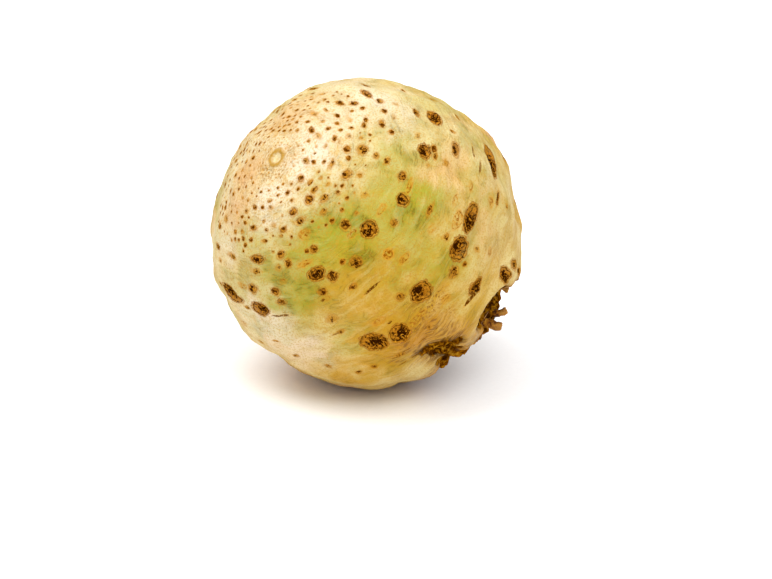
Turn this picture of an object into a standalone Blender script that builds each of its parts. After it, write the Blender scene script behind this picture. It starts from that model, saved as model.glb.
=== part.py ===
"""A whole celeriac root with its rootlets trimmed, lying tilted as on a table.

The root grew as one body, so it is one object. Its crown, where the leaves were cut, points up and to
the front left, and its root end points down and to the back right. Metres, +Z up, with the origin in
the middle of the base. The front is -Y. The shape is worked out in millimetres from the bulb's centre.
"""

import math
import random

import bmesh
import bpy
import numpy as np
from mathutils import Vector, noise

MM = 0.001

# Driving dimensions, in mm and degrees
BULB_RADIUS = 61.3
BULB_CENTRE = (0.0, 0.1, 60.2)
VIEW_ELEVATION = 20.0
VIEW_DISTANCE = 900.0

# The front view's axes, in which places on the seen side are given: across, up and toward the viewer
_TILT = math.radians(VIEW_ELEVATION)
ACROSS = np.array([1.0, 0.0, 0.0])
UP = np.array([0.0, math.sin(_TILT), math.cos(_TILT)])
TOWARD = np.array([0.0, -math.cos(_TILT), math.sin(_TILT)])


def unit(vector):
    return np.asarray(vector, float) / np.linalg.norm(vector)


def point(across, up, toward):
    """The place this far from the bulb's centre along the front view's axes."""
    return across * ACROSS + up * UP + toward * TOWARD


def facing(across, up, toward):
    """The direction from the bulb's centre to that place."""
    return unit(point(across, up, toward))


def seen(across, up):
    """The direction to the point of the bulb seen this many mm right of and above its centre."""
    eye = VIEW_DISTANCE * TOWARD
    ray = unit(point(across, up, 0.0) - eye)
    nearest = eye @ ray
    inside = nearest**2 - (VIEW_DISTANCE**2 - BULB_RADIUS**2)
    return unit(eye + ray * (-nearest - math.sqrt(max(inside, 0.0))))


# The growth axis: the crown is where the leaves stood, and the root end lies opposite
CROWN = seen(-36.0, 31.2)
ROOT_END = -CROWN
DOWN = np.array([0.0, 0.0, -1.0])
TURN_ZERO = unit(np.cross(CROWN, DOWN))
TURN_NINETY = np.cross(CROWN, TURN_ZERO)


def grown(polar, turn):
    """The direction this many degrees from the crown, and round the growth axis."""
    a, b = math.radians(polar), math.radians(turn)
    ring = TURN_ZERO * math.cos(b) + TURN_NINETY * math.sin(b)
    return unit(CROWN * math.cos(a) + ring * math.sin(a))


# Broad swellings and dips of the bulb: where, how far they spread, and how high, in mm
SWELLINGS = (
    (facing(-10.0, 60.0, 4.0), 26.0, 1.2),
    (facing(-7.0, 61.0, 0.0), 9.0, 1.0),
    (facing(-37.0, 49.0, 0.0), 7.0, 1.1),
    (facing(-48.0, 38.0, 0.0), 6.0, -0.7),
    (facing(40.0, 47.0, 0.0), 5.0, 0.7),
    (facing(53.0, 33.0, 0.0), 12.0, 1.5),
    (facing(60.0, 18.0, 0.0), 9.0, -1.3),
    (facing(-42.0, -46.0, 0.0), 22.0, -1.8),
    (facing(-55.0, 26.0, 4.0), 13.0, -1.3),
    (facing(-62.0, 3.0, 0.0), 8.0, -0.8),
    (facing(60.0, 5.0, -9.0), 12.0, 1.2),
    (facing(59.0, 9.0, 9.0), 4.5, -1.2),
    (facing(61.5, -4.5, 0.0), 4.0, -1.6),
    (facing(57.0, -13.0, 12.0), 8.0, 2.2),
    (facing(8.0, 10.0, 60.0), 24.0, 0.8),
    (facing(32.0, -36.0, 38.0), 14.0, -0.8),
    (facing(51.0, -38.0, -1.0), 8.0, 3.4),
    (grown(70.0, 250.0), 24.0, 1.8),
    (grown(85.0, 300.0), 20.0, -1.8),
    (grown(60.0, 205.0), 18.0, 1.4),
)
LUMP_SIZE = 30.0
LUMP_HEIGHT = 1.0
RIPPLE_SIZE = 11.0
RIPPLE_HEIGHT = 0.28

# The growing point in the middle of the crown: a shallow dimple with a rounded ring round it
CROWN_RING_RADIUS = 3.1
CROWN_RING_WIDTH = 1.1
CROWN_RING_HEIGHT = 0.4
CROWN_DIMPLE_RADIUS = 1.9
CROWN_DIMPLE_DEPTH = 0.5

# The root end: the angle from its pole to its rim, pushed out or drawn back at some places, the step
# down inside the rim, and how far from the centre the root end is flattened
ROOT_RIM = 54.0
ROOT_RIM_WANDER = 5.0
ROOT_RIM_WANDER_SIZE = 34.0
ROOT_RIM_SHIFTS = (
    (facing(60.0, 4.0, -6.0), 20.0, -14.0),
    (facing(56.0, -30.0, 0.0), 14.0, 8.0),
    (facing(34.0, -48.0, 18.0), 13.0, 9.0),
    (facing(45.0, -41.0, 12.0), 7.0, -9.0),
    (DOWN, 24.0, -30.0),
)
ROOT_STEP = 2.0
ROOT_STEP_WIDTH = 4.0
ROOT_FLAT = 52.0
ROOT_FLAT_BLEND = 4.0

# The bases of the trimmed roots: low ridges that crowd the root end, with creases between them
RIDGE_COUNT = 40
RIDGES_REACH = 9.0
RIDGES_JITTER = 3.0
RIDGES_START = (1.0, 9.0)
RIDGE_LENGTH = (13.0, 21.0)
RIDGE_WIDTH = (8.0, 11.5)
RIDGE_HEIGHT = 3.2
RIDGE_LEAN = 65.0
GOLDEN_ANGLE = 137.508

# Steep-sided hollows between the roots: where, radius and depth, in mm
HOLLOWS = (
    (facing(50.5, -29.5, 18.5), 12.0, 5.4),
    (facing(55.4, -25.5, 3.0), 9.5, 3.4),
    (facing(28.8, -46.8, 28.7), 5.0, 3.6),
    (facing(35.2, -43.2, 27.2), 5.6, 4.2),
    (facing(34.0, -49.0, 17.0), 8.0, 5.0),
    (grown(128.0, 150.0), 9.0, 5.0),
    (grown(140.0, 262.0), 9.5, 6.0),
    (grown(126.0, 225.0), 8.0, 4.5),
    (grown(152.0, 330.0), 7.0, 4.5),
)
HOLLOW_WALL = 3.2

# The large corky scars left by trimmed rootlets on the seen side, by hand:
# place across and up, length along the growth rings, width, and how deep they sink, in mm
SEEN_SCARS = (
    (1.2, 2.4, 6.2, 5.8, 0.7),
    (14.4, 14.0, 4.6, 4.4, 0.8),
    (22.2, -23.0, 8.8, 7.0, 0.9),
    (41.6, 6.6, 10.4, 5.0, 0.8),
    (37.6, -5.4, 8.6, 6.4, 0.9),
    (2.8, -43.6, 10.4, 8.2, 0.6),
    (13.2, -38.8, 7.6, 6.4, 0.6),
    (-19.6, -15.2, 6.4, 4.6, 0.7),
    (23.6, 33.8, 5.4, 4.8, 0.7),
    (27.4, 47.0, 5.8, 4.6, 0.8),
    (50.4, 29.6, 12.0, 5.2, 0.9),
    (-52.8, -22.8, 8.6, 4.8, 0.8),
    (-42.2, -29.2, 6.4, 5.6, 0.7),
    (55.4, -15.8, 5.0, 4.4, 0.8),
    (44.0, -20.8, 7.4, 3.4, 0.7),
)

# The scars of the side that isn't seen are scattered over a band round the growth axis
HIDDEN_SCAR_COUNT = 12
HIDDEN_SCAR_POLAR = (52.0, 112.0)
HIDDEN_SCAR_TURN = (120.0, 345.0)
HIDDEN_SCAR_LENGTH = (4.6, 9.5)
HIDDEN_SCAR_SLIMNESS = (0.6, 0.9)
HIDDEN_SCAR_DEPTH = 0.8
HIDDEN_SCAR_GAP = 14.0
# How far a hidden place's direction may lean toward the viewer
SEEN_EDGE = 0.05
# The least share of its length that a scar near the outline may show when its real size is worked out
LEAST_SEEN = 0.5
SCAR_LIP_AT = 1.15
SCAR_LIP_HEIGHT = 0.3
SCAR_LIP_WIDTH = 0.25

# Trimmed root stubs. Those seen in the large hollow, by hand: from where to where, and radius, in mm
SEEN_STUBS = (
    (point(53.0, -20.6, 3.0), point(56.6, -22.0, 3.0), 1.1),
    (point(49.5, -31.4, 2.0), point(56.0, -29.6, 3.0), 1.5),
    (point(47.0, -34.0, 4.0), point(53.6, -36.6, 3.0), 1.8),
)
# The others stand on the ridges and lean along them
STUB_COUNT = 32
STUB_RADIUS = (1.8, 3.8)
STUB_LENGTH = (2.5, 6.5)
STUB_LEAN = 0.75
STUB_AT = 0.45
STUB_INSIDE_RIM = 3.0
STUB_SUNK = 5.0
# Along a stub: the share of its length, how far it arches outward there, and its width
STUB_PROFILE = ((0.0, 0.0, 1.2), (0.5, 0.1, 0.95), (0.85, 0.05, 0.95), (1.0, 0.0, 0.7))
STUB_ROOT_WIDTH = 1.4
STUB_FLOOR_GAP = 1.5
# The furthest that a stub's end may stand from the centre in the front view, so that the seen outline
# stays that of the bulb
STUB_SHOWS_AT = 61.0

# The faces: their edge on plain skin, in the root end and at the scars, as halvings of the first
FIRST_CUTS = 13
ROOT_EDGE = 3.6
SCAR_EDGE = 2.0
SCAR_MARGINS = (2.6, 1.0)
SEED = 7

SKIN_COLOUR = (0.72, 0.55, 0.25, 1.0)
SKIN_ROUGHNESS = 0.6


def noise_over(directions, size, offset):
    """Smooth noise over the bulb, about -1 to 1, whose bumps are this many mm across."""
    scale = 2.0 * BULB_RADIUS / size
    shift = Vector((offset, -2.0 * offset, 3.0 * offset))
    return np.array([2.0 * noise.noise(Vector(d) * scale + shift) for d in directions])


def away(directions, place):
    """The distance over the bulb from the place to each direction, in mm."""
    return np.arccos(np.clip(directions @ place, -1.0, 1.0)) * BULB_RADIUS


def bell(distance, spread):
    return np.exp(-((distance / spread) ** 2))


def smooth_step(value, low, high):
    t = np.clip((value - low) / (high - low), 0.0, 1.0)
    return t * t * (3.0 - 2.0 * t)


def ring_axes(place):
    """The two tangents at a place: along the growth rings, and across them toward the crown."""
    along = unit(np.cross(CROWN, place))
    return along, np.cross(place, along)


def ridge_list():
    """Each ridge's middle, the two tangents along and across it, and its half length and width."""
    draw = random.Random(SEED)
    span = 1.0 - math.cos(math.radians(ROOT_RIM + RIDGES_REACH))
    ridges = []
    for i in range(RIDGE_COUNT):
        polar = math.degrees(math.acos(1.0 - (i + 0.5) / RIDGE_COUNT * span))
        polar += draw.uniform(-RIDGES_JITTER, RIDGES_JITTER)
        place = grown(180.0 - polar, i * GOLDEN_ANGLE)
        ring, rise = ring_axes(place)
        lean = math.radians(draw.uniform(-RIDGE_LEAN, RIDGE_LEAN))
        along = rise * math.cos(lean) + ring * math.sin(lean)
        length = draw.uniform(*RIDGE_LENGTH) / 2.0
        width = draw.uniform(*RIDGE_WIDTH) / 2.0
        ridges.append((place, along, np.cross(place, along), length, width))
    return ridges


def inside_rim(directions):
    """How far inside the root end's rim each direction lies, in mm; outside it is negative."""
    rim = ROOT_RIM + ROOT_RIM_WANDER * noise_over(directions, ROOT_RIM_WANDER_SIZE, 4.0)
    for place, spread, shift in ROOT_RIM_SHIFTS:
        rim += shift * bell(away(directions, place), spread)
    return rim * math.radians(1.0) * BULB_RADIUS - away(directions, ROOT_END)


def root_relief(directions):
    """The root end's step down, ridges and hollows, in mm."""
    inside = inside_rim(directions)
    top = np.full(len(directions), -1.0)
    for place, along, across, length, width in ridge_list():
        x = directions @ along * BULB_RADIUS / length
        y = directions @ across * BULB_RADIUS / width
        reach = np.where(directions @ place > 0.0, np.hypot(x, y), 9.0)
        top = np.maximum(top, 1.0 - reach**2)
    relief = -ROOT_STEP * smooth_step(inside, 0.0, ROOT_STEP_WIDTH)
    relief += RIDGE_HEIGHT * top * smooth_step(inside, *RIDGES_START)
    sunk = np.zeros(len(directions))
    for place, radius, depth in HOLLOWS:
        reach = away(directions, place)
        sunk = np.maximum(sunk, depth * (1.0 - smooth_step(reach, radius - HOLLOW_WALL, radius)))
    return relief - sunk


def scar_relief(directions, scars):
    """Each scar's sunk middle and raised lip, in mm."""
    relief = np.zeros(len(directions))
    for place, length, width, depth in scars:
        along, across = ring_axes(place)
        x = directions @ along * BULB_RADIUS / (length / 2.0)
        y = directions @ across * BULB_RADIUS / (width / 2.0)
        reach = np.where(directions @ place > 0.0, np.hypot(x, y), 9.0)
        relief -= depth * np.clip(1.0 - reach**2, 0.0, 1.0)
        relief += SCAR_LIP_HEIGHT * bell(reach - SCAR_LIP_AT, SCAR_LIP_WIDTH)
    return relief


def blended_lower(first, second):
    """The lower of two heights, rounded over where they meet."""
    return -ROOT_FLAT_BLEND * np.logaddexp(-first / ROOT_FLAT_BLEND, -second / ROOT_FLAT_BLEND)


def bulb_radius(directions, scars):
    """The distance from the bulb's centre to its surface along each direction, in mm."""
    radius = np.full(len(directions), BULB_RADIUS)
    for place, spread, height in SWELLINGS:
        radius += height * bell(away(directions, place), spread)
    radius += LUMP_HEIGHT * noise_over(directions, LUMP_SIZE, 1.0)
    radius += RIPPLE_HEIGHT * noise_over(directions, RIPPLE_SIZE, 2.0)
    from_crown = away(directions, CROWN)
    radius += CROWN_RING_HEIGHT * bell(from_crown - CROWN_RING_RADIUS, CROWN_RING_WIDTH)
    radius -= CROWN_DIMPLE_DEPTH * bell(from_crown, CROWN_DIMPLE_RADIUS)
    radius = blended_lower(radius, ROOT_FLAT / np.maximum(directions @ ROOT_END, 0.2))
    return radius + root_relief(directions) + scar_relief(directions, scars)


def share_seen(axis):
    """How much of a tangent's length shows in the front view, which shortens it toward the outline."""
    return max(math.hypot(axis @ ACROSS, axis @ UP), LEAST_SEEN)


def seen_scar(across, up, length, width, depth):
    """A scar read in the front view, at its real size on the turning surface."""
    place = seen(across, up)
    along, over = ring_axes(place)
    return place, length / share_seen(along), width / share_seen(over), depth


def all_scars():
    """The seen scars, and the scattered ones of the hidden side, as place, length, width and depth."""
    draw = random.Random(SEED)
    scars = [seen_scar(*row) for row in SEEN_SCARS]
    while len(scars) < len(SEEN_SCARS) + HIDDEN_SCAR_COUNT:
        place = grown(draw.uniform(*HIDDEN_SCAR_POLAR), draw.uniform(*HIDDEN_SCAR_TURN))
        length = draw.uniform(*HIDDEN_SCAR_LENGTH)
        width = length * draw.uniform(*HIDDEN_SCAR_SLIMNESS)
        hidden = place @ TOWARD < SEEN_EDGE
        if hidden and all(away(other[0], place) > HIDDEN_SCAR_GAP for other in scars):
            scars.append((place, length, width, HIDDEN_SCAR_DEPTH))
    return scars


def directions_of(points):
    points = np.array(points, float).reshape(-1, 3)
    return points / np.linalg.norm(points, axis=1)[:, None]


def needs_halving(bm, scars, margin):
    """The edges that are still too long for where they lie: in the root end, and at the scars."""
    edges = list(bm.edges)
    middles = directions_of([(e.verts[0].co + e.verts[1].co) / 2.0 for e in edges])
    wanted = np.full(len(edges), 9.0)
    wanted[inside_rim(middles) > -3.0] = ROOT_EDGE
    for place, radius, _depth in HOLLOWS:
        wanted[away(middles, place) < radius + 2.0] = ROOT_EDGE
    for place, length, _width, _depth in scars:
        wanted[away(middles, place) < 0.5 * length + margin] = SCAR_EDGE
    return [e for e, limit in zip(edges, wanted) if e.calc_length() * BULB_RADIUS > limit]


def sphere_mesh(bm, scars):
    """A unit sphere of near-equal triangles, halved where the surface needs more of them."""
    bmesh.ops.create_icosphere(bm, subdivisions=1, radius=1.0)
    bmesh.ops.subdivide_edges(bm, edges=bm.edges[:], cuts=FIRST_CUTS, use_grid_fill=True)
    for margin in SCAR_MARGINS:
        for vertex in bm.verts:
            vertex.co.normalize()
        edges = needs_halving(bm, scars, margin)
        bmesh.ops.subdivide_edges(bm, edges=edges, cuts=1)
        bmesh.ops.triangulate(bm, faces=bm.faces[:])
    for vertex in bm.verts:
        vertex.co.normalize()


def stand_on_base(bm):
    """Cuts the bulb level at the table, which leaves the small flat spot that it rests on."""
    cut = bmesh.ops.bisect_plane(
        bm,
        geom=bm.verts[:] + bm.edges[:] + bm.faces[:],
        dist=1e-6,
        plane_co=(0.0, 0.0, 0.0),
        plane_no=(0.0, 0.0, -1.0),
        clear_outer=True,
    )
    rim = [e for e in cut["geom_cut"] if isinstance(e, bmesh.types.BMEdge)]
    bmesh.ops.triangle_fill(bm, edges=rim, normal=(0.0, 0.0, -1.0), use_beauty=True)


def make_bulb(scars):
    """The swollen root itself, with its scars, knuckles and hollows."""
    bm = bmesh.new()
    sphere_mesh(bm, scars)
    directions = directions_of([v.co for v in bm.verts])
    radii = bulb_radius(directions, scars)
    for vertex, direction, radius in zip(bm.verts, directions, radii):
        vertex.co = (Vector(direction * radius) + Vector(BULB_CENTRE)) * MM
    stand_on_base(bm)
    bmesh.ops.recalc_face_normals(bm, faces=bm.faces[:])
    mesh = bpy.data.meshes.new("celeriac_root")
    bm.to_mesh(mesh)
    bm.free()
    return mesh


def make_stub(index, start, end, radius):
    """A trimmed root: a tapered, slightly bent tube that starts well under the skin."""
    outward = unit(start)
    arch = outward * np.linalg.norm(end - start)
    spots = [(start - outward * STUB_SUNK, STUB_ROOT_WIDTH)]
    for share, rise, width in STUB_PROFILE:
        spots.append((start + (end - start) * share + arch * rise, width))
    curve = bpy.data.curves.new(f"stub_{index}", "CURVE")
    curve.dimensions = "3D"
    curve.bevel_depth = radius * MM
    curve.bevel_resolution = 1
    curve.use_fill_caps = True
    spline = curve.splines.new("POLY")
    spline.points.add(len(spots) - 1)
    for knot, (spot, width) in zip(spline.points, spots):
        knot.co = (*((spot + np.array(BULB_CENTRE)) * MM), 1.0)
        knot.radius = width
    tube = bpy.data.objects.new(curve.name, curve)
    bpy.context.scene.collection.objects.link(tube)
    return as_mesh(tube)


def as_mesh(tube):
    """The tube as a closed mesh object in place of its curve."""
    evaluated = tube.evaluated_get(bpy.context.evaluated_depsgraph_get())
    mesh = bpy.data.meshes.new_from_object(evaluated)
    bm = bmesh.new()
    bm.from_mesh(mesh)
    bmesh.ops.remove_doubles(bm, verts=bm.verts[:], dist=0.01 * MM)
    bmesh.ops.triangulate(bm, faces=bm.faces[:])
    bmesh.ops.recalc_face_normals(bm, faces=bm.faces[:])
    bm.to_mesh(mesh)
    bm.free()
    solid = bpy.data.objects.new(tube.name, mesh)
    solid.matrix_world = tube.matrix_world
    bpy.data.objects.remove(tube)
    return solid


def stub_list(scars):
    """From where to where each stub goes, and its radius: the seen ones, then those on the ridges."""
    draw = random.Random(SEED + 1)
    stubs = list(SEEN_STUBS)
    for place, along, _across, length, _width in ridge_list()[:STUB_COUNT]:
        radius = draw.uniform(*STUB_RADIUS)
        reach = draw.uniform(*STUB_LENGTH)
        side = draw.choice((-1.0, 1.0))
        root = unit(place + along * side * STUB_AT * length / BULB_RADIUS)
        start = root * bulb_radius(np.array([root]), scars)[0]
        end = start + unit(root + along * side * STUB_LEAN) * reach
        shows = math.hypot(end @ ACROSS, end @ UP) > STUB_SHOWS_AT
        clear = end[2] + BULB_CENTRE[2] > radius + STUB_FLOOR_GAP
        if clear and not shows and inside_rim(np.array([root]))[0] > STUB_INSIDE_RIM:
            stubs.append((start, end, radius))
    return stubs


def make_stubs(scars):
    return [make_stub(i, *stub) for i, stub in enumerate(stub_list(scars))]


def skin_material():
    """Waxy root skin, cream to yellow tan."""
    material = bpy.data.materials.new("celeriac_skin")
    material.use_nodes = True
    shader = material.node_tree.nodes["Principled BSDF"]
    shader.inputs["Base Color"].default_value = SKIN_COLOUR
    shader.inputs["Roughness"].default_value = SKIN_ROUGHNESS
    shader.inputs["Metallic"].default_value = 0.0
    return material


def fuse(bulb, stubs, holder):
    """Joins the stubs to the bulb in one union, and removes their own objects."""
    for stub in stubs:
        holder.objects.link(stub)
    union = bulb.modifiers.new("stubs", "BOOLEAN")
    union.operation = "UNION"
    union.operand_type = "COLLECTION"
    union.collection = holder
    union.solver = "EXACT"
    joined = bpy.data.meshes.new_from_object(bulb.evaluated_get(bpy.context.evaluated_depsgraph_get()))
    bulb.modifiers.clear()
    bulb.data = joined
    bulb.data.name = bulb.name
    for stub in stubs:
        bpy.data.objects.remove(stub)
    bpy.data.collections.remove(holder)


def main():
    for old in list(bpy.data.objects):
        bpy.data.objects.remove(old)
    scene = bpy.context.scene
    parts = bpy.data.collections.new("celeriac")
    holder = bpy.data.collections.new("stubs")
    scene.collection.children.link(parts)
    scene.collection.children.link(holder)
    scars = all_scars()
    bulb = bpy.data.objects.new("celeriac_root", make_bulb(scars))
    parts.objects.link(bulb)
    fuse(bulb, make_stubs(scars), holder)
    bulb.data.materials.clear()
    bulb.data.materials.append(skin_material())
    bulb.data.shade_smooth()


main()
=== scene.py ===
"""A whole celeriac root lying on a pale floor: a waxy skin, cream to olive, with corky scars where the
rootlets grew, a yellow growing point in the trimmed crown, and a brown, knobbly root end.

The bulb's form is the solid's own formula drawn finer, with the skin's small relief added. It is worked
out in millimetres from the bulb's centre. A finished mesh is in the frame's metres.
"""

import functools
import math
import random
from typing import NamedTuple

import bmesh
import bpy
import numpy as np
from mathutils import Matrix, Vector, kdtree, noise

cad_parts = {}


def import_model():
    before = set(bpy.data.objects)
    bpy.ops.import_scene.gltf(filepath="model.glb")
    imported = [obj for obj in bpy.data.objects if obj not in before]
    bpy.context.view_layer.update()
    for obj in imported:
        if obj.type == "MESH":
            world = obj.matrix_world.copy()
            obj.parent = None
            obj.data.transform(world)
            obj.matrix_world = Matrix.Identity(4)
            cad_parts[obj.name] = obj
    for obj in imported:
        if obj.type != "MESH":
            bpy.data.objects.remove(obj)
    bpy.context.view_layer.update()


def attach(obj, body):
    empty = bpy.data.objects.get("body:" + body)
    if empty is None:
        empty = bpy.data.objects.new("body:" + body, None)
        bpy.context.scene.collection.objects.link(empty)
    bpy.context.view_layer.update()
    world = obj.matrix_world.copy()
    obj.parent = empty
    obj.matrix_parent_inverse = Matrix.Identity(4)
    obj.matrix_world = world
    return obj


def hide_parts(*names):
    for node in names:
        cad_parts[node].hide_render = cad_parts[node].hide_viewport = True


MM = 0.001
SEED = 7

# Driving dimensions of the solid, in mm and degrees
BULB_RADIUS = 61.3
BULB_CENTRE = (0.0, 0.1, 60.2)
VIEW_ELEVATION = 20.0
VIEW_DISTANCE = 900.0

# The photograph's frame: its size, and where the bulb's centre is in it. Then the camera's lens and
# sensor in mm, and how near it still sees, in metres.
FRAME_WIDTH, FRAME_HEIGHT = 772.0, 579.0
BULB_CENTRE_PIXEL = (366.0, 235.0)
LENS = 105.0
SENSOR_WIDTH = 36.0
NEAREST_SHOWN = 0.01

# The front view's axes, in which places on the seen side are given: across, up and toward the viewer
_TILT = math.radians(VIEW_ELEVATION)
ACROSS = np.array([1.0, 0.0, 0.0])
UP = np.array([0.0, math.sin(_TILT), math.cos(_TILT)])
TOWARD = np.array([0.0, -math.cos(_TILT), math.sin(_TILT)])


def unit(vector):
    return np.asarray(vector, float) / np.linalg.norm(vector)


def point(across, up, toward):
    """The place this far from the bulb's centre along the front view's axes."""
    return across * ACROSS + up * UP + toward * TOWARD


def facing(across, up, toward):
    """The direction from the bulb's centre to that place."""
    return unit(point(across, up, toward))


def seen(across, up):
    """The direction to the point of the bulb seen this many mm right of and above its centre."""
    eye = VIEW_DISTANCE * TOWARD
    ray = unit(point(across, up, 0.0) - eye)
    nearest = eye @ ray
    inside = nearest**2 - (VIEW_DISTANCE**2 - BULB_RADIUS**2)
    return unit(eye + ray * (-nearest - math.sqrt(max(inside, 0.0))))


# The growth axis: the crown is where the leaves stood, and the root end lies opposite
CROWN = seen(-36.0, 31.2)
ROOT_END = -CROWN
DOWN = np.array([0.0, 0.0, -1.0])
TURN_ZERO = unit(np.cross(CROWN, DOWN))
TURN_NINETY = np.cross(CROWN, TURN_ZERO)


def grown(polar, turn):
    """The direction this many degrees from the crown, and round the growth axis."""
    a, b = math.radians(polar), math.radians(turn)
    ring = TURN_ZERO * math.cos(b) + TURN_NINETY * math.sin(b)
    return unit(CROWN * math.cos(a) + ring * math.sin(a))


# Broad swellings and dips of the bulb: where, how far they spread, and how high, in mm
SWELLINGS = (
    (facing(-10.0, 60.0, 4.0), 26.0, 1.2),
    (facing(-7.0, 61.0, 0.0), 9.0, 1.0),
    (facing(-37.0, 49.0, 0.0), 7.0, 1.1),
    (facing(-48.0, 38.0, 0.0), 6.0, -0.7),
    (facing(40.0, 47.0, 0.0), 5.0, 0.7),
    (facing(53.0, 33.0, 0.0), 12.0, 1.5),
    (facing(60.0, 18.0, 0.0), 9.0, -1.3),
    (facing(-42.0, -46.0, 0.0), 22.0, -1.8),
    (facing(-55.0, 26.0, 4.0), 13.0, -1.3),
    (facing(-62.0, 3.0, 0.0), 8.0, -0.8),
    (facing(60.0, 5.0, -9.0), 12.0, 1.2),
    (facing(59.0, 9.0, 9.0), 4.5, -1.2),
    (facing(61.5, -4.5, 0.0), 4.0, -1.6),
    (facing(57.0, -13.0, 12.0), 8.0, 2.2),
    (facing(8.0, 10.0, 60.0), 24.0, 0.8),
    (facing(32.0, -36.0, 38.0), 14.0, -0.8),
    (facing(51.0, -38.0, -1.0), 8.0, 3.4),
    (grown(70.0, 250.0), 24.0, 1.8),
    (grown(85.0, 300.0), 20.0, -1.8),
    (grown(60.0, 205.0), 18.0, 1.4),
)
LUMP_SIZE = 30.0
LUMP_HEIGHT = 1.0
RIPPLE_SIZE = 11.0
RIPPLE_HEIGHT = 0.28

# The growing point in the middle of the crown: a shallow dimple with a rounded ring round it
CROWN_RING_RADIUS = 3.1
CROWN_RING_WIDTH = 1.1
CROWN_RING_HEIGHT = 0.4
CROWN_DIMPLE_RADIUS = 1.9
CROWN_DIMPLE_DEPTH = 0.5

# The root end: the angle from its pole to its rim, pushed out or drawn back at some places, the step
# down inside the rim, and how far from the centre the root end is flattened. The last value is the
# least cosine from the pole that this is worked out with: farther out the flat lies outside the bulb.
ROOT_RIM = 54.0
ROOT_RIM_WANDER = 5.0
ROOT_RIM_WANDER_SIZE = 34.0
ROOT_RIM_SHIFTS = (
    (facing(60.0, 4.0, -6.0), 20.0, -14.0),
    (facing(56.0, -30.0, 0.0), 14.0, 8.0),
    (facing(34.0, -48.0, 18.0), 13.0, 9.0),
    (facing(45.0, -41.0, 12.0), 7.0, -9.0),
    (DOWN, 24.0, -30.0),
)
ROOT_STEP = 2.0
ROOT_STEP_WIDTH = 4.0
ROOT_FLAT = 52.0
ROOT_FLAT_BLEND = 4.0
ROOT_FLAT_LEAST = 0.2

# The bases of the trimmed roots: low ridges that crowd the root end, with creases between them
RIDGE_COUNT = 40
RIDGES_REACH = 9.0
RIDGES_JITTER = 3.0
RIDGES_START = (1.0, 9.0)
RIDGE_LENGTH = (13.0, 21.0)
RIDGE_WIDTH = (8.0, 11.5)
RIDGE_HEIGHT = 3.2
RIDGE_LEAN = 65.0
GOLDEN_ANGLE = 137.508

# Steep-sided hollows between the roots: where, radius and depth, in mm
HOLLOWS = (
    (facing(50.5, -29.5, 18.5), 12.0, 5.4),
    (facing(55.4, -25.5, 3.0), 9.5, 3.4),
    (facing(28.8, -46.8, 28.7), 5.0, 3.6),
    (facing(35.2, -43.2, 27.2), 5.6, 4.2),
    (facing(34.0, -49.0, 17.0), 8.0, 5.0),
    (grown(128.0, 150.0), 9.0, 5.0),
    (grown(140.0, 262.0), 9.5, 6.0),
    (grown(126.0, 225.0), 8.0, 4.5),
    (grown(152.0, 330.0), 7.0, 4.5),
)
HOLLOW_WALL = 3.2

# The marks on the seen side, each read from the photograph as its place across and up in the front
# view, its length along the growth rings and its width, in mm. The last value of a corky scar is how
# deep it sinks in mm, and that of the others is how strongly they show, from 0 to 1.
CORKY_SCARS = (
    (1.2, 2.4, 6.2, 5.8, 0.7), (14.4, 14.0, 4.6, 4.4, 0.8), (22.2, -23.0, 8.8, 7.0, 0.9),
    (41.6, 6.6, 10.4, 5.0, 0.8), (37.6, -5.4, 8.6, 6.4, 0.9), (2.8, -43.6, 10.4, 8.2, 0.6),
    (13.2, -38.8, 7.6, 6.4, 0.6), (-19.6, -15.2, 6.4, 4.6, 0.7), (23.6, 33.8, 5.4, 4.8, 0.7),
    (27.4, 47.0, 5.8, 4.6, 0.8), (50.4, 29.6, 12.0, 5.2, 0.9), (-52.8, -22.8, 8.6, 4.8, 0.8),
    (-42.2, -29.2, 6.4, 5.6, 0.7), (55.4, -15.8, 5.0, 4.4, 0.8), (44.0, -20.8, 7.4, 3.4, 0.7),
)
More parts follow.
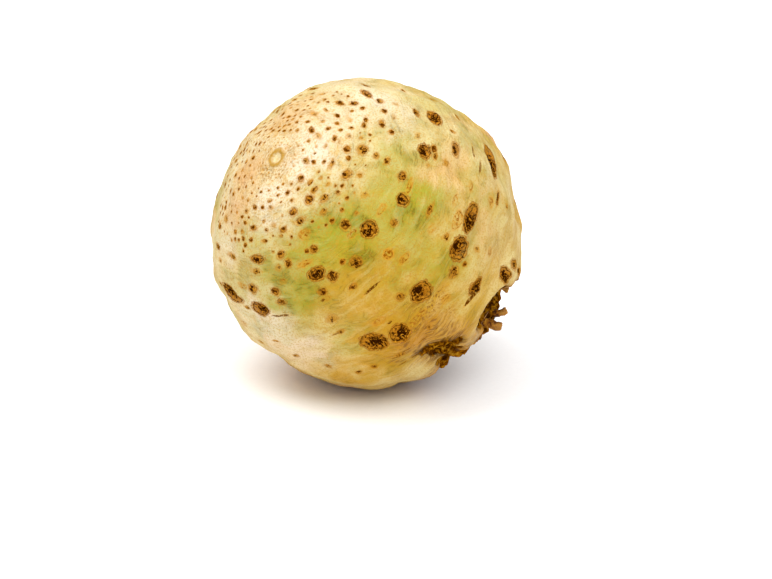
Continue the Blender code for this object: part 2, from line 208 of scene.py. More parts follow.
SPOTS = (
    (-27.6, 49.6, 1.6, 1.2, 0.6), (-20.4, 57.2, 3.2, 1.6, 0.7), (-25.6, 54.8, 1.6, 1.2, 0.5),
    (-17.2, 55.6, 2.4, 1.6, 0.35), (-10.4, 52.4, 2.8, 1.8, 0.9), (-4.8, 52.4, 2.4, 2.8, 0.85),
    (-16.0, 49.8, 1.6, 1.2, 0.5), (-11.6, 48.0, 2.0, 1.6, 0.95), (-20.8, 48.4, 2.4, 2.0, 0.4),
    (-17.2, 45.4, 1.6, 1.6, 0.4), (-23.2, 44.8, 1.6, 1.6, 0.8), (-11.6, 44.4, 1.6, 1.6, 0.85),
    (-21.6, 41.6, 2.0, 2.0, 0.9), (-33.2, 48.0, 2.0, 1.6, 0.6), (-27.2, 41.6, 1.6, 1.6, 0.5),
    (-18.8, 39.6, 2.4, 2.0, 0.35), (-12.4, 38.0, 2.0, 1.6, 0.8), (-6.8, 39.2, 2.4, 2.0, 0.35),
    (-16.0, 35.4, 1.6, 1.6, 0.4), (-7.6, 33.6, 2.4, 2.4, 1.0), (-7.0, 30.4, 1.6, 1.6, 0.95),
    (-21.2, 29.6, 1.4, 1.4, 0.95), (-24.2, 30.0, 2.4, 2.0, 0.55), (-16.8, 29.6, 2.0, 1.6, 0.6),
    (-13.8, 28.4, 3.6, 2.0, 0.5), (-26.4, 23.2, 2.8, 2.4, 0.9), (-22.4, 21.2, 2.8, 1.6, 0.7),
    (-20.4, 18.0, 3.6, 2.0, 0.7), (-22.6, 14.0, 3.2, 3.0, 1.0), (-2.4, 23.6, 2.4, 2.4, 0.55),
    (-16.4, 14.4, 4.0, 2.4, 0.55), (-28.8, 9.2, 3.2, 2.8, 0.85), (-26.0, 5.6, 4.0, 2.4, 0.7),
    (-4.0, 8.8, 1.6, 1.6, 0.5), (-38.4, 13.6, 2.0, 1.6, 0.55), (-44.4, 11.2, 1.8, 1.6, 0.8),
    (-38.0, 10.8, 2.4, 2.0, 0.4), (-31.6, 17.2, 1.6, 1.6, 0.85), (-29.6, 14.0, 1.6, 1.6, 0.55),
    (-45.0, 2.8, 2.4, 2.0, 0.75), (-37.2, 4.0, 2.0, 2.0, 0.35), (-33.2, 2.0, 2.8, 2.4, 0.7),
    (-34.2, -0.4, 2.4, 1.6, 0.45), (-54.4, 17.6, 1.6, 1.6, 0.6), (-51.2, 18.4, 1.2, 1.2, 0.6),
    (-52.0, 28.4, 1.6, 1.2, 0.5), (-48.4, 29.6, 1.6, 1.2, 0.6), (-52.4, 24.0, 2.0, 1.6, 0.55),
    (-46.4, 23.2, 1.6, 1.2, 0.5), (-49.2, 14.8, 1.6, 1.2, 0.4), (-55.6, 6.4, 2.4, 2.0, 0.45),
    (-0.4, 59.2, 2.8, 1.6, 0.8), (0.2, 56.2, 3.6, 2.4, 0.95), (5.6, 53.6, 2.8, 2.4, 0.6),
    (14.8, 57.6, 2.0, 1.2, 0.6), (7.2, 49.2, 2.0, 2.0, 0.75), (6.4, 44.8, 2.4, 2.2, 0.7),
    (-0.2, 46.2, 1.8, 1.6, 0.9), (-0.8, 44.2, 2.0, 1.8, 0.75), (11.2, 47.2, 2.0, 1.6, 0.3),
    (10.4, 41.6, 2.2, 2.0, 0.9), (-6.4, 46.2, 2.0, 1.6, 0.3), (11.6, 52.4, 2.4, 2.0, 0.3),
    (20.4, 49.6, 3.2, 2.0, 0.75), (20.8, 40.0, 2.4, 1.6, 0.35), (-1.2, 34.0, 3.6, 3.2, 0.75),
    (4.0, 31.6, 2.4, 2.4, 0.55), (8.4, 29.6, 2.8, 2.4, 0.6), (25.6, 10.0, 4.8, 1.8, 0.75),
    (-0.4, 15.8, 2.4, 2.0, 0.35), (11.2, 4.8, 2.8, 2.4, 0.65), (25.2, 28.4, 1.6, 1.6, 0.35),
    (36.8, 47.6, 2.4, 1.6, 0.6), (26.4, 54.0, 2.0, 1.6, 0.35), (34.0, 40.8, 1.8, 1.6, 0.6),
    (32.4, 28.8, 2.8, 2.4, 0.45), (52.4, 14.4, 4.8, 1.2, 0.85), (55.6, 11.2, 1.6, 1.2, 0.5),
    (32.4, -0.8, 2.8, 2.4, 0.6), (39.4, -11.6, 2.0, 1.4, 0.85), (44.4, -5.8, 2.4, 2.0, 0.4),
    (-20.6, -5.4, 3.2, 2.8, 0.85), (-23.2, -6.2, 1.6, 1.6, 0.9), (-9.2, -10.4, 2.0, 2.0, 0.9),
    (-31.2, -11.2, 2.8, 2.8, 0.85), (-5.2, -20.4, 3.2, 2.0, 0.7), (-17.6, -22.8, 3.2, 2.8, 0.8),
    (-40.8, -2.4, 2.0, 1.6, 0.65), (-58.0, -4.4, 2.4, 1.6, 0.65), (-34.2, -7.8, 3.2, 2.8, 0.8),
    (-37.6, -6.8, 1.2, 1.2, 0.5), (-43.6, -14.4, 3.2, 2.4, 0.5), (-35.2, -13.2, 2.8, 2.4, 0.35),
    (-44.4, -21.2, 3.6, 3.2, 0.7), (-36.4, -22.8, 3.2, 2.8, 0.9), (-34.2, -26.8, 3.2, 2.4, 0.75),
    (-47.0, -28.8, 2.0, 1.6, 0.6), (-35.6, -42.0, 2.0, 1.2, 0.5), (-14.0, -34.0, 3.6, 3.2, 0.4),
    (-28.4, -49.2, 2.0, 1.6, 0.5), (-15.6, -54.0, 2.0, 1.6, 0.5), (-2.8, -56.0, 2.4, 1.6, 0.6),
    (3.2, -53.6, 2.4, 1.6, 0.6), (13.6, -48.4, 3.2, 2.0, 0.55), (25.6, -37.2, 2.0, 1.6, 0.5),
    (13.6, -24.8, 3.2, 2.8, 0.7), (-2.0, 34.0, 3.6, 3.2, 0.5), (-60.4, -10.0, 2.0, 1.6, 0.55),
    (-56.8, -10.0, 1.6, 1.6, 0.4), (-53.2, -8.4, 3.2, 2.0, 0.5), (-7.6, 24.0, 3.6, 3.2, 0.7),
    (14.6, 23.6, 3.6, 2.8, 0.8), (-13.0, -16.4, 4.0, 3.9, 0.95), (-8.4, 4.0, 3.6, 3.6, 0.85),
    (-4.0, -10.8, 4.4, 4.0, 0.8), (-50.0, -24.8, 4.0, 2.8, 0.85), (35.2, -14.8, 4.4, 3.2, 0.75),
    (-56.8, 20.0, 2.0, 1.2, 0.7), (54.8, 31.6, 3.6, 1.6, 0.8), (28.0, 31.6, 2.8, 1.6, 0.7),
    (27.2, 34.4, 2.6, 2.0, 1.0), (58.8, -14.0, 2.4, 2.0, 0.75), (-10.4, -39.6, 2.8, 2.0, 0.5),
    (-56.8, -19.2, 1.6, 1.2, 0.5), (-53.6, -34.4, 1.6, 1.2, 0.45), (-41.6, -42.4, 2.0, 1.2, 0.45),
    (-43.0, -9.6, 4.4, 3.4, 0.85), (35.6, 34.0, 4.4, 3.0, 0.8), (-58.8, 12.0, 1.6, 1.2, 0.5),
    (-55.2, 23.6, 1.6, 1.2, 0.45), (-44.0, 42.0, 2.0, 1.2, 0.55), (-39.2, 46.8, 2.0, 1.2, 0.5),
    (-31.6, 54.0, 2.4, 1.2, 0.5), (-24.0, 58.8, 2.0, 1.2, 0.45), (-13.2, 60.4, 2.0, 1.2, 0.35),
    (8.8, 61.2, 2.0, 1.2, 0.4), (58.0, -11.6, 3.6, 2.6, 0.7), (-16.8, 9.2, 3.0, 2.0, 0.5),
)
HEALED_SPOTS = (
    (-24.6, 0.4, 4.4, 3.2, 0.7), (6.2, 10.0, 4.8, 2.0, 0.6), (-24.0, -11.2, 4.8, 2.0, 0.8),
    (8.8, -7.6, 4.0, 3.2, 0.9), (-48.8, -20.0, 3.6, 2.0, 0.5), (-33.4, -18.6, 2.4, 2.0, 0.5),
    (5.6, -34.0, 5.6, 2.4, 0.6), (26.4, 2.4, 3.6, 2.4, 0.4), (49.6, -6.8, 3.2, 2.4, 0.45),
    (50.2, 13.2, 3.6, 2.4, 0.6), (-5.6, 0.4, 4.8, 2.4, 0.55), (35.6, 14.0, 4.8, 1.8, 0.55),
    (41.6, 19.2, 3.6, 1.6, 0.5), (15.2, -9.2, 5.2, 2.4, 0.7), (17.6, 19.6, 6.8, 1.8, 0.8),
    (-48.4, -35.2, 2.8, 2.0, 0.4), (19.6, -34.0, 6.4, 2.8, 0.4), (-16.0, -25.6, 3.6, 2.0, 0.4),
    (-10.4, 36.0, 3.2, 2.0, 0.3), (32.8, -26.0, 4.0, 2.8, 0.5), (36.6, 6.0, 8.0, 3.6, 0.7),
    (22.0, -31.6, 4.4, 2.0, 0.5),
)
SLITS = (
    (42.4, 33.2, 4.8, 0.8, 0.5), (45.2, 27.2, 4.4, 0.8, 0.4), (2.0, -21.6, 6.4, 0.9, 0.7),
    (-16.8, -26.0, 3.6, 1.0, 0.5), (9.6, -34.8, 2.0, 0.8, 0.6), (-34.2, -32.4, 6.8, 0.9, 0.5),
    (-10.8, 36.0, 2.4, 0.6, 0.4), (42.4, -25.2, 8.0, 1.1, 0.95), (-11.6, -40.0, 4.8, 0.7, 0.35),
    (22.6, -42.6, 5.2, 0.6, 0.5), (16.4, -46.2, 4.6, 0.6, 0.45), (20.2, -49.0, 6.0, 0.7, 0.5),
    (28.0, -38.8, 3.4, 0.6, 0.4), (12.0, -49.6, 4.2, 0.5, 0.35), (15.0, -51.8, 5.0, 0.6, 0.4),
)

# The least share of its length that a mark near the outline may show when its real size is worked out
LEAST_SEEN = 0.5
# The raised lip round a mark: how far out and how wide, in shares of the mark's half width, and its
# height in mm. A spot sinks less than a scar and has a lower lip. The last value is how far past its
# own length a mark's relief is worked out, in mm.
SCAR_LIP_AT = 1.15
SCAR_LIP_HEIGHT = 0.3
SCAR_LIP_WIDTH = 0.25
SPOT_SUNK = 0.15
SPOT_LIP_HEIGHT = 0.1
LIP_ROOM = 4.0

# The large scars of the side that isn't seen are scattered over a band round the growth axis
HIDDEN_SCAR_COUNT = 12
HIDDEN_SCAR_POLAR = (52.0, 112.0)
HIDDEN_SCAR_TURN = (120.0, 345.0)
HIDDEN_SCAR_LENGTH = (4.6, 9.5)
HIDDEN_SCAR_SLIMNESS = (0.6, 0.9)
HIDDEN_SCAR_DEPTH = 0.8
HIDDEN_SCAR_GAP = 14.0

# Small marks by rule: the band from the crown in degrees, how many are tried, the gap between them, and
# their length in mm and strength. The hidden rows leave the seen side out.
CROWN_SPECKS = (
    (4.6, 9.5, 900, 1.5, (0.6, 1.0), (0.2, 0.5)),
    (9.5, 36.0, 2800, 2.45, (0.7, 2.2), (0.4, 1.0)),
)
HIDDEN_SPECKS = (
    (34.0, 62.0, 500, 5.0, (1.4, 3.4), (0.4, 0.95)),
    (60.0, 118.0, 420, 7.0, (1.6, 4.6), (0.35, 0.95)),
)
SEEN_EDGE = 0.05
# The room left round the marks that were there before, and from what length on a speck is sunk, in mm
CLEAR_ROOM = 3.0
SUNK_FROM = 2.0
SPECK_SLIMNESS = (0.7, 1.0)
HEALED_SHARE = 0.25
# How far from a mark's outline its colours still reach, in mm
MARK_REACH = 2.4
# The place within a mark, a ridge or the growing point that stands for anywhere well outside it
FAR_OUT = 9.0

# The coordinates that the skin's streaks are drawn in: how many mm they run along a quarter ring, and
# how far they wander across the rings
GRAIN_SPAN = 12.0
GRAIN_WANDER = 1.6
GRAIN_WANDER_SIZE = 18.0
# How many broad streaks and fine threads there are to a mm of those coordinates
STREAKS_PER_MM = 0.45
THREADS_PER_MM = 1.3
# How often a mark's outline bends within its half width, and how far to one side a scar's core lies
BENDS_PER_MARK = 0.6
CORE_LEAN = (0.28, 0.28, 0.0)
# The skin's wrinkles along the rings, as size and height in mm, and where they start from the crown
WRINKLES = ((5.0, 0.1), (2.4, 0.04))
WRINKLES_START = (14.0, 34.0)
# The bark's roughness, as size and height in mm, where it starts inside the rim, and how deep a hollow
# has to be for bark and for painted shade, in mm
BARK_ROUGH = ((5.0, 0.45), (2.6, 0.3), (1.3, 0.16))
BARK_START = (-1.0, 5.0)
BARK_HOLLOW = (0.6, 2.4)
SHADED_HOLLOW = (1.0, 4.0)
BARK_RAGGED = 3.0
BARK_RAGGED_SIZE = 9.0

# Soft-edged patches of colour on the seen side: place across and up, radius in mm, and strength
GREEN_PATCHES = (
    (-25.0, -6.0, 9.0, 0.8), (4.0, 14.0, 10.0, 0.5), (22.0, 14.0, 7.0, 0.5),
    (-12.4, 0.0, 12.0, 0.9), (-2.4, -6.0, 12.0, 0.9), (-24.0, -22.0, 10.0, 0.85), (-32.4, -26.0, 8.0, 0.7),
    (13.6, 4.0, 10.0, 0.6), (21.6, 14.0, 9.0, 0.9), (11.6, 34.0, 12.0, 0.6), (7.6, 20.0, 8.0, 0.5),
    (21.6, 46.0, 10.0, 0.4), (-2.0, 62.0, 14.0, 0.35), (-14.4, 4.0, 9.0, 0.7), (-20.4, 20.0, 5.0, 0.45),
    (-46.4, -2.0, 9.0, 0.45), (-38.4, -14.0, 10.0, 0.6), (23.6, -10.8, 10.0, 0.55), (27.6, -16.8, 4.0, 0.8),
    (9.6, -51.4, 6.0, 0.85), (42.8, -32.2, 5.0, 0.45), (41.6, 0.0, 8.0, 0.35), (35.6, -12.0, 8.0, 0.35),
    (-26.4, -38.0, 9.0, 0.25), (14.4, -14.8, 5.0, 0.7),
)
# Pale patches: partly paler skin near the crown, partly painted light on the top and the lower left, which
# are lit brighter
PALE_AND_LIT_PATCHES = (
    (-22.4, 34.0, 8.0, 0.85), (-28.0, 28.0, 6.0, 0.4), (-8.4, 60.0, 10.0, 0.4), (-38.0, 13.0, 7.0, 0.7),
    (-15.4, 43.0, 8.0, 0.35), (2.0, 54.0, 14.0, 0.6), (16.0, 44.0, 9.0, 0.3), (-41.0, -34.0, 10.0, 0.5),
    (-27.0, -46.0, 10.0, 0.5), (-56.0, -4.0, 8.0, 0.4),
)
PEACH_PATCHES = (
    (-48.0, 25.0, 8.0, 0.8), (-52.0, 9.0, 8.0, 0.8), (-30.5, 47.0, 10.0, 0.6), (-28.0, -47.0, 12.0, 0.5),
    (33.6, 28.0, 10.0, 0.5), (49.6, 0.0, 10.0, 0.6), (28.0, 22.0, 7.0, 0.5),
)
BROWN_PATCHES = (
    (32.0, -44.0, 11.0, 0.95), (19.6, -42.0, 9.0, 0.7), (14.0, -50.0, 7.0, 0.5), (26.0, -36.0, 7.0, 0.4),
)
BARK_PATCHES = (
    (29.5, -45.0, 4.4, 1.0), (35.5, -43.4, 4.4, 1.0), (24.0, -47.6, 3.6, 0.8), (33.0, -46.6, 4.0, 0.9),
)
# Rough, freckled skin
SCUFFED_PATCHES = (
    (27.0, -27.5, 6.5, 0.95), (34.0, -33.0, 5.0, 0.7), (20.0, -36.0, 7.0, 0.7), (-50.0, 20.0, 9.0, 0.6),
    (-46.0, 5.0, 8.0, 0.4), (-40.0, 40.0, 9.0, 0.5), (-26.0, 46.0, 9.0, 0.5), (-52.0, -20.0, 7.0, 0.5),
    (-36.0, 31.0, 13.0, 0.55), (-10.0, 44.0, 8.0, 0.3), (44.0, -12.0, 7.0, 0.3), (52.0, -12.0, 5.0, 0.6),
    (-40.0, 22.0, 8.0, 0.4), (2.0, -10.0, 12.0, 0.3), (16.0, -16.0, 10.0, 0.4), (28.0, 8.0, 9.0, 0.3),
    (-24.0, 10.0, 10.0, 0.4), (-28.0, -12.0, 10.0, 0.3), (8.0, -30.0, 10.0, 0.45),
    (-20.0, -34.0, 10.0, 0.3),
)
GOLD_PATCHES = (
    (8.0, -36.0, 17.0, 0.9), (28.0, -24.0, 15.0, 0.8), (42.0, -34.0, 12.0, 0.9), (-4.0, -20.0, 13.0, 0.7),
    (4.0, -52.0, 14.0, 0.9), (12.0, -10.0, 13.0, 0.6), (32.0, -4.0, 10.0, 0.5), (22.0, 12.0, 12.0, 0.6),
    (-8.0, -4.0, 14.0, 0.6), (-20.0, -24.0, 12.0, 0.6), (-26.0, -6.0, 9.0, 0.5), (2.0, 14.0, 11.0, 0.5),
    (50.0, -16.0, 10.0, 0.6), (38.0, 22.0, 10.0, 0.4), (48.0, 14.0, 10.0, 0.4), (-8.0, -58.0, 9.0, 0.9),
    (12.0, -44.0, 9.0, 0.8), (24.0, -38.0, 8.0, 0.8),
)
CREAM_PATCHES = (
    (10.0, 54.0, 16.0, 0.8), (-30.0, 6.0, 12.0, 0.5), (-46.0, -30.0, 14.0, 0.8), (-34.0, -44.0, 14.0, 0.7),
    (-58.0, 0.0, 12.0, 0.8), (36.0, 40.0, 12.0, 0.4), (46.0, 22.0, 9.0, 0.5), (-10.0, 20.0, 8.0, 0.4),
    (0.0, 44.0, 14.0, 0.6), (40.0, 8.0, 8.0, 0.4),
)
# How far noise moves the patches' edges about, and how wide its bumps are, in mm: every way, and in
# streaks along the rings
PATCH_WANDER = 3.0
PATCH_WANDER_SIZE = 14.0
STREAK_WANDER = 2.5
STREAK_WANDER_SIZE = 3.5
# Colours by rule. Those of the side that isn't seen fade out between these cosines to the viewer.
HIDDEN_FROM = (-0.1, 0.35)
# Where colours start and fade out, in degrees from the crown, and the stains, in mm inside the rim
CREAM_FADES = (24.0, 50.0)
GREEN_STARTS = (22.0, 45.0)
GREEN_FADES = (78.0, 112.0)
GOLD_STARTS = (60.0, 100.0)
STAIN_STARTS = (-9.0, 2.0)
# Drifts by noise: its size in mm, and the values of it between which the colour comes in
GREEN_DRIFT_SIZE = 22.0
GREEN_DRIFTS = (-0.1, 0.7)
FAINT_GREEN_DRIFTS = (-0.4, 0.4)
PEACH_DRIFT_SIZE = 26.0
PEACH_DRIFTS = (0.1, 0.7)
SCUFF_DRIFT_SIZE = 16.0
SCUFF_DRIFTS = (0.2, 0.7)
# How strong these colours get
HIDDEN_GREEN = 0.7
FAINT_GREEN = 0.35
HIDDEN_GOLD = 0.8
HIDDEN_SCUFFS = 0.7
# The ridge heights between which a crease fills with painted shade, and how much of it the bark patches
# hold
CREASE_TOPS = (-0.55, 0.55)
PATCH_SHADE = 0.9

# The growing point's oval in the middle of the crown, in mm, and its turn in the front view in degrees
BUD_LENGTH = 7.2
BUD_WIDTH = 7.6
BUD_TURN = 35.0
# The least cosine from the crown at which its oval is drawn
BUD_SIDE = 0.5

# The faces' edges in mm: on plain skin, in the bark and crown, at large scars and at spots. The sphere
# starts with this many divisions, and edges that are too long for their place are halved up to twice.
FIRST_DIVISIONS = 7
SKIN_EDGE = 9.0
BARK_EDGE = 0.75
SCAR_EDGE = 0.45
SPOT_EDGE = 0.75
HALVINGS = 2
# How far fine faces reach: outside the rim, from the crown and beyond a mark's outline, in mm
BARK_MARGIN = 0.5
CROWN_MARGIN = 6.0
SCAR_MARGIN = 0.5

# Trimmed root stubs. Those seen in the large hollow, given one by one: from where to where, and radius, in
# mm
SEEN_STUBS = (
    (point(53.0, -20.6, 3.0), point(56.6, -22.0, 3.0), 1.1),
    (point(49.5, -31.4, 2.0), point(56.0, -29.6, 3.0), 1.5),
    (point(47.0, -34.0, 4.0), point(53.6, -36.6, 3.0), 1.8),
)
# The others stand on the ridges and lean along them, toward either end: how many ridges may have one,
# its radius and length in mm, how it leans, and where it starts, in shares of the ridge's half length.
# It stands this far inside the rim, starts this deep in the bulb and stays this far off the floor. In
# the front view it ends no farther than this from the bulb's centre, so that it stays out of sight.
STUB_COUNT = 32
STUB_RADIUS = (1.8, 3.8)
STUB_LENGTH = (2.5, 6.5)
STUB_LEAN = 0.75
STUB_AT = 0.45
STUB_INSIDE_RIM = 3.0
STUB_SUNK = 5.0
STUB_FLOOR_GAP = 1.5
STUB_SHOWS_AT = 61.0
# Along a stub: the share of its length, how far it arches outward there, and its width
STUB_PROFILE = (
    (0.0, 0.0, 1.2), (0.25, 0.07, 1.04), (0.5, 0.1, 0.95), (0.85, 0.05, 0.95), (0.97, 0.01, 0.8),
    (1.0, 0.0, 0.6),
)
STUB_ROOT_WIDTH = 1.4
STUB_SIDES = 6
# How far from the skin a stub is at its palest, in mm
STUB_PALE_AT = 5.0
STUB_CUTS = 2
STUB_SMOOTH = 0.6
STUB_SHARP_ANGLE = 50.0
STUB_ROUGH = ((5.0, 0.35), (1.6, 0.2))
# The step inside a cut end's edge, in shares of its radius
CUT_INSET = 0.25

# Thin dry rootlets in the creases of the root end: how many places are tried, how far from its pole
# they grow in degrees, how far inside its rim and how deep they start in mm, and under which ridge height
ROOTLET_TRIES = 420
ROOTLET_POLAR = 58.0
ROOTLET_INSIDE_RIM = 1.0
ROOTLET_SUNK = 0.6
ROOTLET_TOP = -0.1
# Their length and radius in mm, how they rise and bend in shares of their length, and how far they taper
ROOTLET_LENGTH = (3.0, 8.0)
ROOTLET_LIFT = (0.05, 0.6)
ROOTLET_RADIUS = (0.12, 0.35)
ROOTLET_BEND = 0.35
ROOTLET_TAPER = 0.75
ROOTLET_STEPS = 4
ROOTLET_SIDES = 5
ROOTLET_ROUGH = ((2.0, 0.12),)

# The floor's width in metres, and the room's white light, from the horizon up to where it is full, as
# a share of the way overhead
FLOOR_SIZE = 8.0
ROOM_LOW = 0.15
ROOM_HIGH = 1.2
ROOM_FULL_AT = 0.7
# The two lamps: place and width in metres, and watts
SOFTBOXES = (
    ("left_softbox", (-0.5, -0.05, 1.05), 0.9, 7.2),
    ("front_softbox", (0.4, -0.7, 1.0), 0.9, 7.2),
)


def noise_at(points, size, offset=0.0):
    """Smooth noise over points in mm, about -1 to 1, whose bumps are this many mm across. Noise at
    another offset is unlike it."""
    shift = Vector((offset, -2.0 * offset, 3.0 * offset))
    scaled = np.asarray(points) * (2.0 / size)
    return np.array([2.0 * noise.noise(Vector(p) + shift) for p in scaled])


def away(directions, place):
    """The distance over the bulb from the place to each direction, in mm."""
    return np.arccos(np.clip(directions @ place, -1.0, 1.0)) * BULB_RADIUS


def bell(distance, spread):
    return np.exp(-((distance / spread) ** 2))


def smooth_step(value, low, high):
    t = np.clip((value - low) / (high - low), 0.0, 1.0)
    return t * t * (3.0 - 2.0 * t)


def blended_lower(first, second):
    """The lower of two heights, rounded over where they meet."""
    return -ROOT_FLAT_BLEND * np.logaddexp(-first / ROOT_FLAT_BLEND, -second / ROOT_FLAT_BLEND)


def ring_axes(place):
    """The two tangents at a place: along the growth rings, and across them toward the crown."""
    along = unit(np.cross(CROWN, place))
    return along, np.cross(place, along)


@functools.cache
def ridge_list():
    """Each ridge's middle, the two tangents along and across it, and its half length and width."""
    draw = random.Random(SEED)
    span = 1.0 - math.cos(math.radians(ROOT_RIM + RIDGES_REACH))
    ridges = []
    for i in range(RIDGE_COUNT):
        polar = math.degrees(math.acos(1.0 - (i + 0.5) / RIDGE_COUNT * span))
        polar += draw.uniform(-RIDGES_JITTER, RIDGES_JITTER)
        place = grown(180.0 - polar, i * GOLDEN_ANGLE)
        ring, rise = ring_axes(place)
        lean = math.radians(draw.uniform(-RIDGE_LEAN, RIDGE_LEAN))
        along = rise * math.cos(lean) + ring * math.sin(lean)
        length = draw.uniform(*RIDGE_LENGTH) / 2.0
        width = draw.uniform(*RIDGE_WIDTH) / 2.0
        ridges.append((place, along, np.cross(place, along), length, width))
    return ridges


def inside_rim(directions):
    """How far inside the root end's rim each direction lies, in mm; outside it is negative."""
    wander = noise_at(directions * BULB_RADIUS, ROOT_RIM_WANDER_SIZE, offset=4.0)
    rim = ROOT_RIM + ROOT_RIM_WANDER * wander
    for place, spread, shift in ROOT_RIM_SHIFTS:
        rim += shift * bell(away(directions, place), spread)
    return rim * math.radians(1.0) * BULB_RADIUS - away(directions, ROOT_END)


def ridge_tops(directions):
    """How near the top of a ridge each direction is: 1 on its crest, -1 in the creases between."""
    top = np.full(len(directions), -1.0)
    for place, along, across, length, width in ridge_list():
        x = directions @ along * BULB_RADIUS / length
        y = directions @ across * BULB_RADIUS / width
        reach = np.where(directions @ place > 0.0, np.hypot(x, y), FAR_OUT)
        top = np.maximum(top, 1.0 - reach**2)
    return top


def hollow_depth(directions):
    """How deep each direction is sunk by a hollow, in mm."""
    sunk = np.zeros(len(directions))
    for place, radius, depth in HOLLOWS:
        reach = away(directions, place)
        sunk = np.maximum(sunk, depth * (1.0 - smooth_step(reach, radius - HOLLOW_WALL, radius)))
    return sunk


def root_relief(directions):
    """The root end's step down, ridges and hollows, in mm."""
    inside = inside_rim(directions)
    relief = -ROOT_STEP * smooth_step(inside, 0.0, ROOT_STEP_WIDTH)
    relief += RIDGE_HEIGHT * ridge_tops(directions) * smooth_step(inside, *RIDGES_START)
    return relief - hollow_depth(directions)


def bulb_radius(directions):
    """The distance from the bulb's centre to its surface along each direction, without its marks."""
    radius = np.full(len(directions), BULB_RADIUS)
    for place, spread, height in SWELLINGS:
        radius += height * bell(away(directions, place), spread)
    radius += LUMP_HEIGHT * noise_at(directions * BULB_RADIUS, LUMP_SIZE, offset=1.0)
    radius += RIPPLE_HEIGHT * noise_at(directions * BULB_RADIUS, RIPPLE_SIZE, offset=2.0)
    from_crown = away(directions, CROWN)
    radius += CROWN_RING_HEIGHT * bell(from_crown - CROWN_RING_RADIUS, CROWN_RING_WIDTH)
    radius -= CROWN_DIMPLE_DEPTH * bell(from_crown, CROWN_DIMPLE_RADIUS)
    radius = blended_lower(radius, ROOT_FLAT / np.maximum(directions @ ROOT_END, ROOT_FLAT_LEAST))
    return radius + root_relief(directions)


class Mark(NamedTuple):
    """A scar in the skin: its place and the tangents along and across the growth rings there, its
    length along them and its width in mm, how deep it sinks in mm, how strongly it shows, and whether
    it is healed over, corky or a slit."""

    place: np.ndarray
    along: np.ndarray
    over: np.ndarray
    length: float
    width: float
    sunk: float
    shows: float
    kind: float

    def size(self):
        """Its mean width in mm."""
        return math.sqrt(self.length * self.width)

    def within(self, directions):
        """Where each direction lies, in shares of the mark's half length and half width."""
        u = directions @ self.along * BULB_RADIUS / (self.length / 2.0)
        v = directions @ self.over * BULB_RADIUS / (self.width / 2.0)
        return u, v


HEALED, CORKY, SLIT = 0.0, 1.0, 2.0


def new_mark(place, length, width, sunk, shows, kind):
    return Mark(place, *ring_axes(place), length, width, sunk, shows, kind)


def share_seen(axis):
    """How much of a tangent's length shows in the front view, which shortens it toward the outline."""
    return max(math.hypot(axis @ ACROSS, axis @ UP), LEAST_SEEN)


def seen_mark(across, up, length, width, sunk, shows, kind):
    """A mark read in the front view, at its real size on the turning surface."""
    place = seen(across, up)
    along, over = ring_axes(place)
    return new_mark(place, length / share_seen(along), width / share_seen(over), sunk, shows, kind)


def corky_scars():
    """The large scars: those seen, and those scattered over the side that isn't."""
    draw = random.Random(SEED)
    scars = [seen_mark(*row, 1.0, CORKY) for row in CORKY_SCARS]
    while len(scars) < len(CORKY_SCARS) + HIDDEN_SCAR_COUNT:
        place = grown(draw.uniform(*HIDDEN_SCAR_POLAR), draw.uniform(*HIDDEN_SCAR_TURN))
        length = draw.uniform(*HIDDEN_SCAR_LENGTH)
        width = length * draw.uniform(*HIDDEN_SCAR_SLIMNESS)
        hidden = place @ TOWARD < SEEN_EDGE
        if hidden and all(away(other.place, place) > HIDDEN_SCAR_GAP for other in scars):
            scars.append(new_mark(place, length, width, HIDDEN_SCAR_DEPTH, 1.0, CORKY))
    return scars


def seen_marks():
    """The smaller marks of the seen side: spots, healed outlines and slits."""
    spots = [seen_mark(*row[:4], SPOT_SUNK, row[4], CORKY) for row in SPOTS]
    healed = [seen_mark(*row[:4], 0.0, row[4], HEALED) for row in HEALED_SPOTS]
    slits = [seen_mark(*row[:4], 0.0, row[4], SLIT) for row in SLITS]
    return spots + healed + slits


def scattered_marks(marks, band, on_hidden_side):
    """Small marks by rule in a band from the crown, each kept clear of the ones before it."""
    low, high, tries, gap, lengths, strengths = band
    lowest, highest = math.cos(math.radians(high)), math.cos(math.radians(low))
    draw = random.Random(SEED + tries)
    places = np.array([mark.place for mark in marks])
    sizes = np.array([max(mark.length, mark.width) + CLEAR_ROOM for mark in marks])
    added = []
    for _ in range(tries):
        polar = math.degrees(math.acos(draw.uniform(lowest, highest)))
        place = grown(polar, draw.uniform(0.0, 360.0))
        length = draw.uniform(*lengths)
        width = length * draw.uniform(*SPECK_SLIMNESS)
        shows = draw.uniform(*strengths)
        if on_hidden_side and place @ TOWARD > SEEN_EDGE:
            continue
        if np.all(away(places, place) > gap / 2.0 + sizes / 2.0):
            kind = HEALED if on_hidden_side and draw.random() < HEALED_SHARE else CORKY
            sunk = SPOT_SUNK if length > SUNK_FROM else 0.0
            added.append(new_mark(place, length, width, sunk, shows, kind))
            places = np.vstack((places, place))
            sizes = np.append(sizes, gap)
    return added


def all_marks():
    marks = corky_scars() + seen_marks()
    for band in CROWN_SPECKS:
        marks += scattered_marks(marks, band, False)
    for band in HIDDEN_SPECKS:
        marks += scattered_marks(marks, band, True)
    return marks


def mark_relief(directions, marks):
    """Each mark's sunk middle, and the raised lip round a large one, in mm."""
    relief = np.zeros(len(directions))
    for mark in marks:
        if mark.sunk == 0.0:
            continue
        near = np.flatnonzero(directions @ mark.place > math.cos((mark.length + LIP_ROOM) / BULB_RADIUS))
        reach = np.hypot(*mark.within(directions[near]))
        relief[near] -= mark.sunk * np.clip(1.0 - reach**2, 0.0, 1.0)
        lip = SCAR_LIP_HEIGHT if mark.sunk > SPOT_SUNK else SPOT_LIP_HEIGHT
        relief[near] += lip * bell(reach - SCAR_LIP_AT, SCAR_LIP_WIDTH)
    return relief


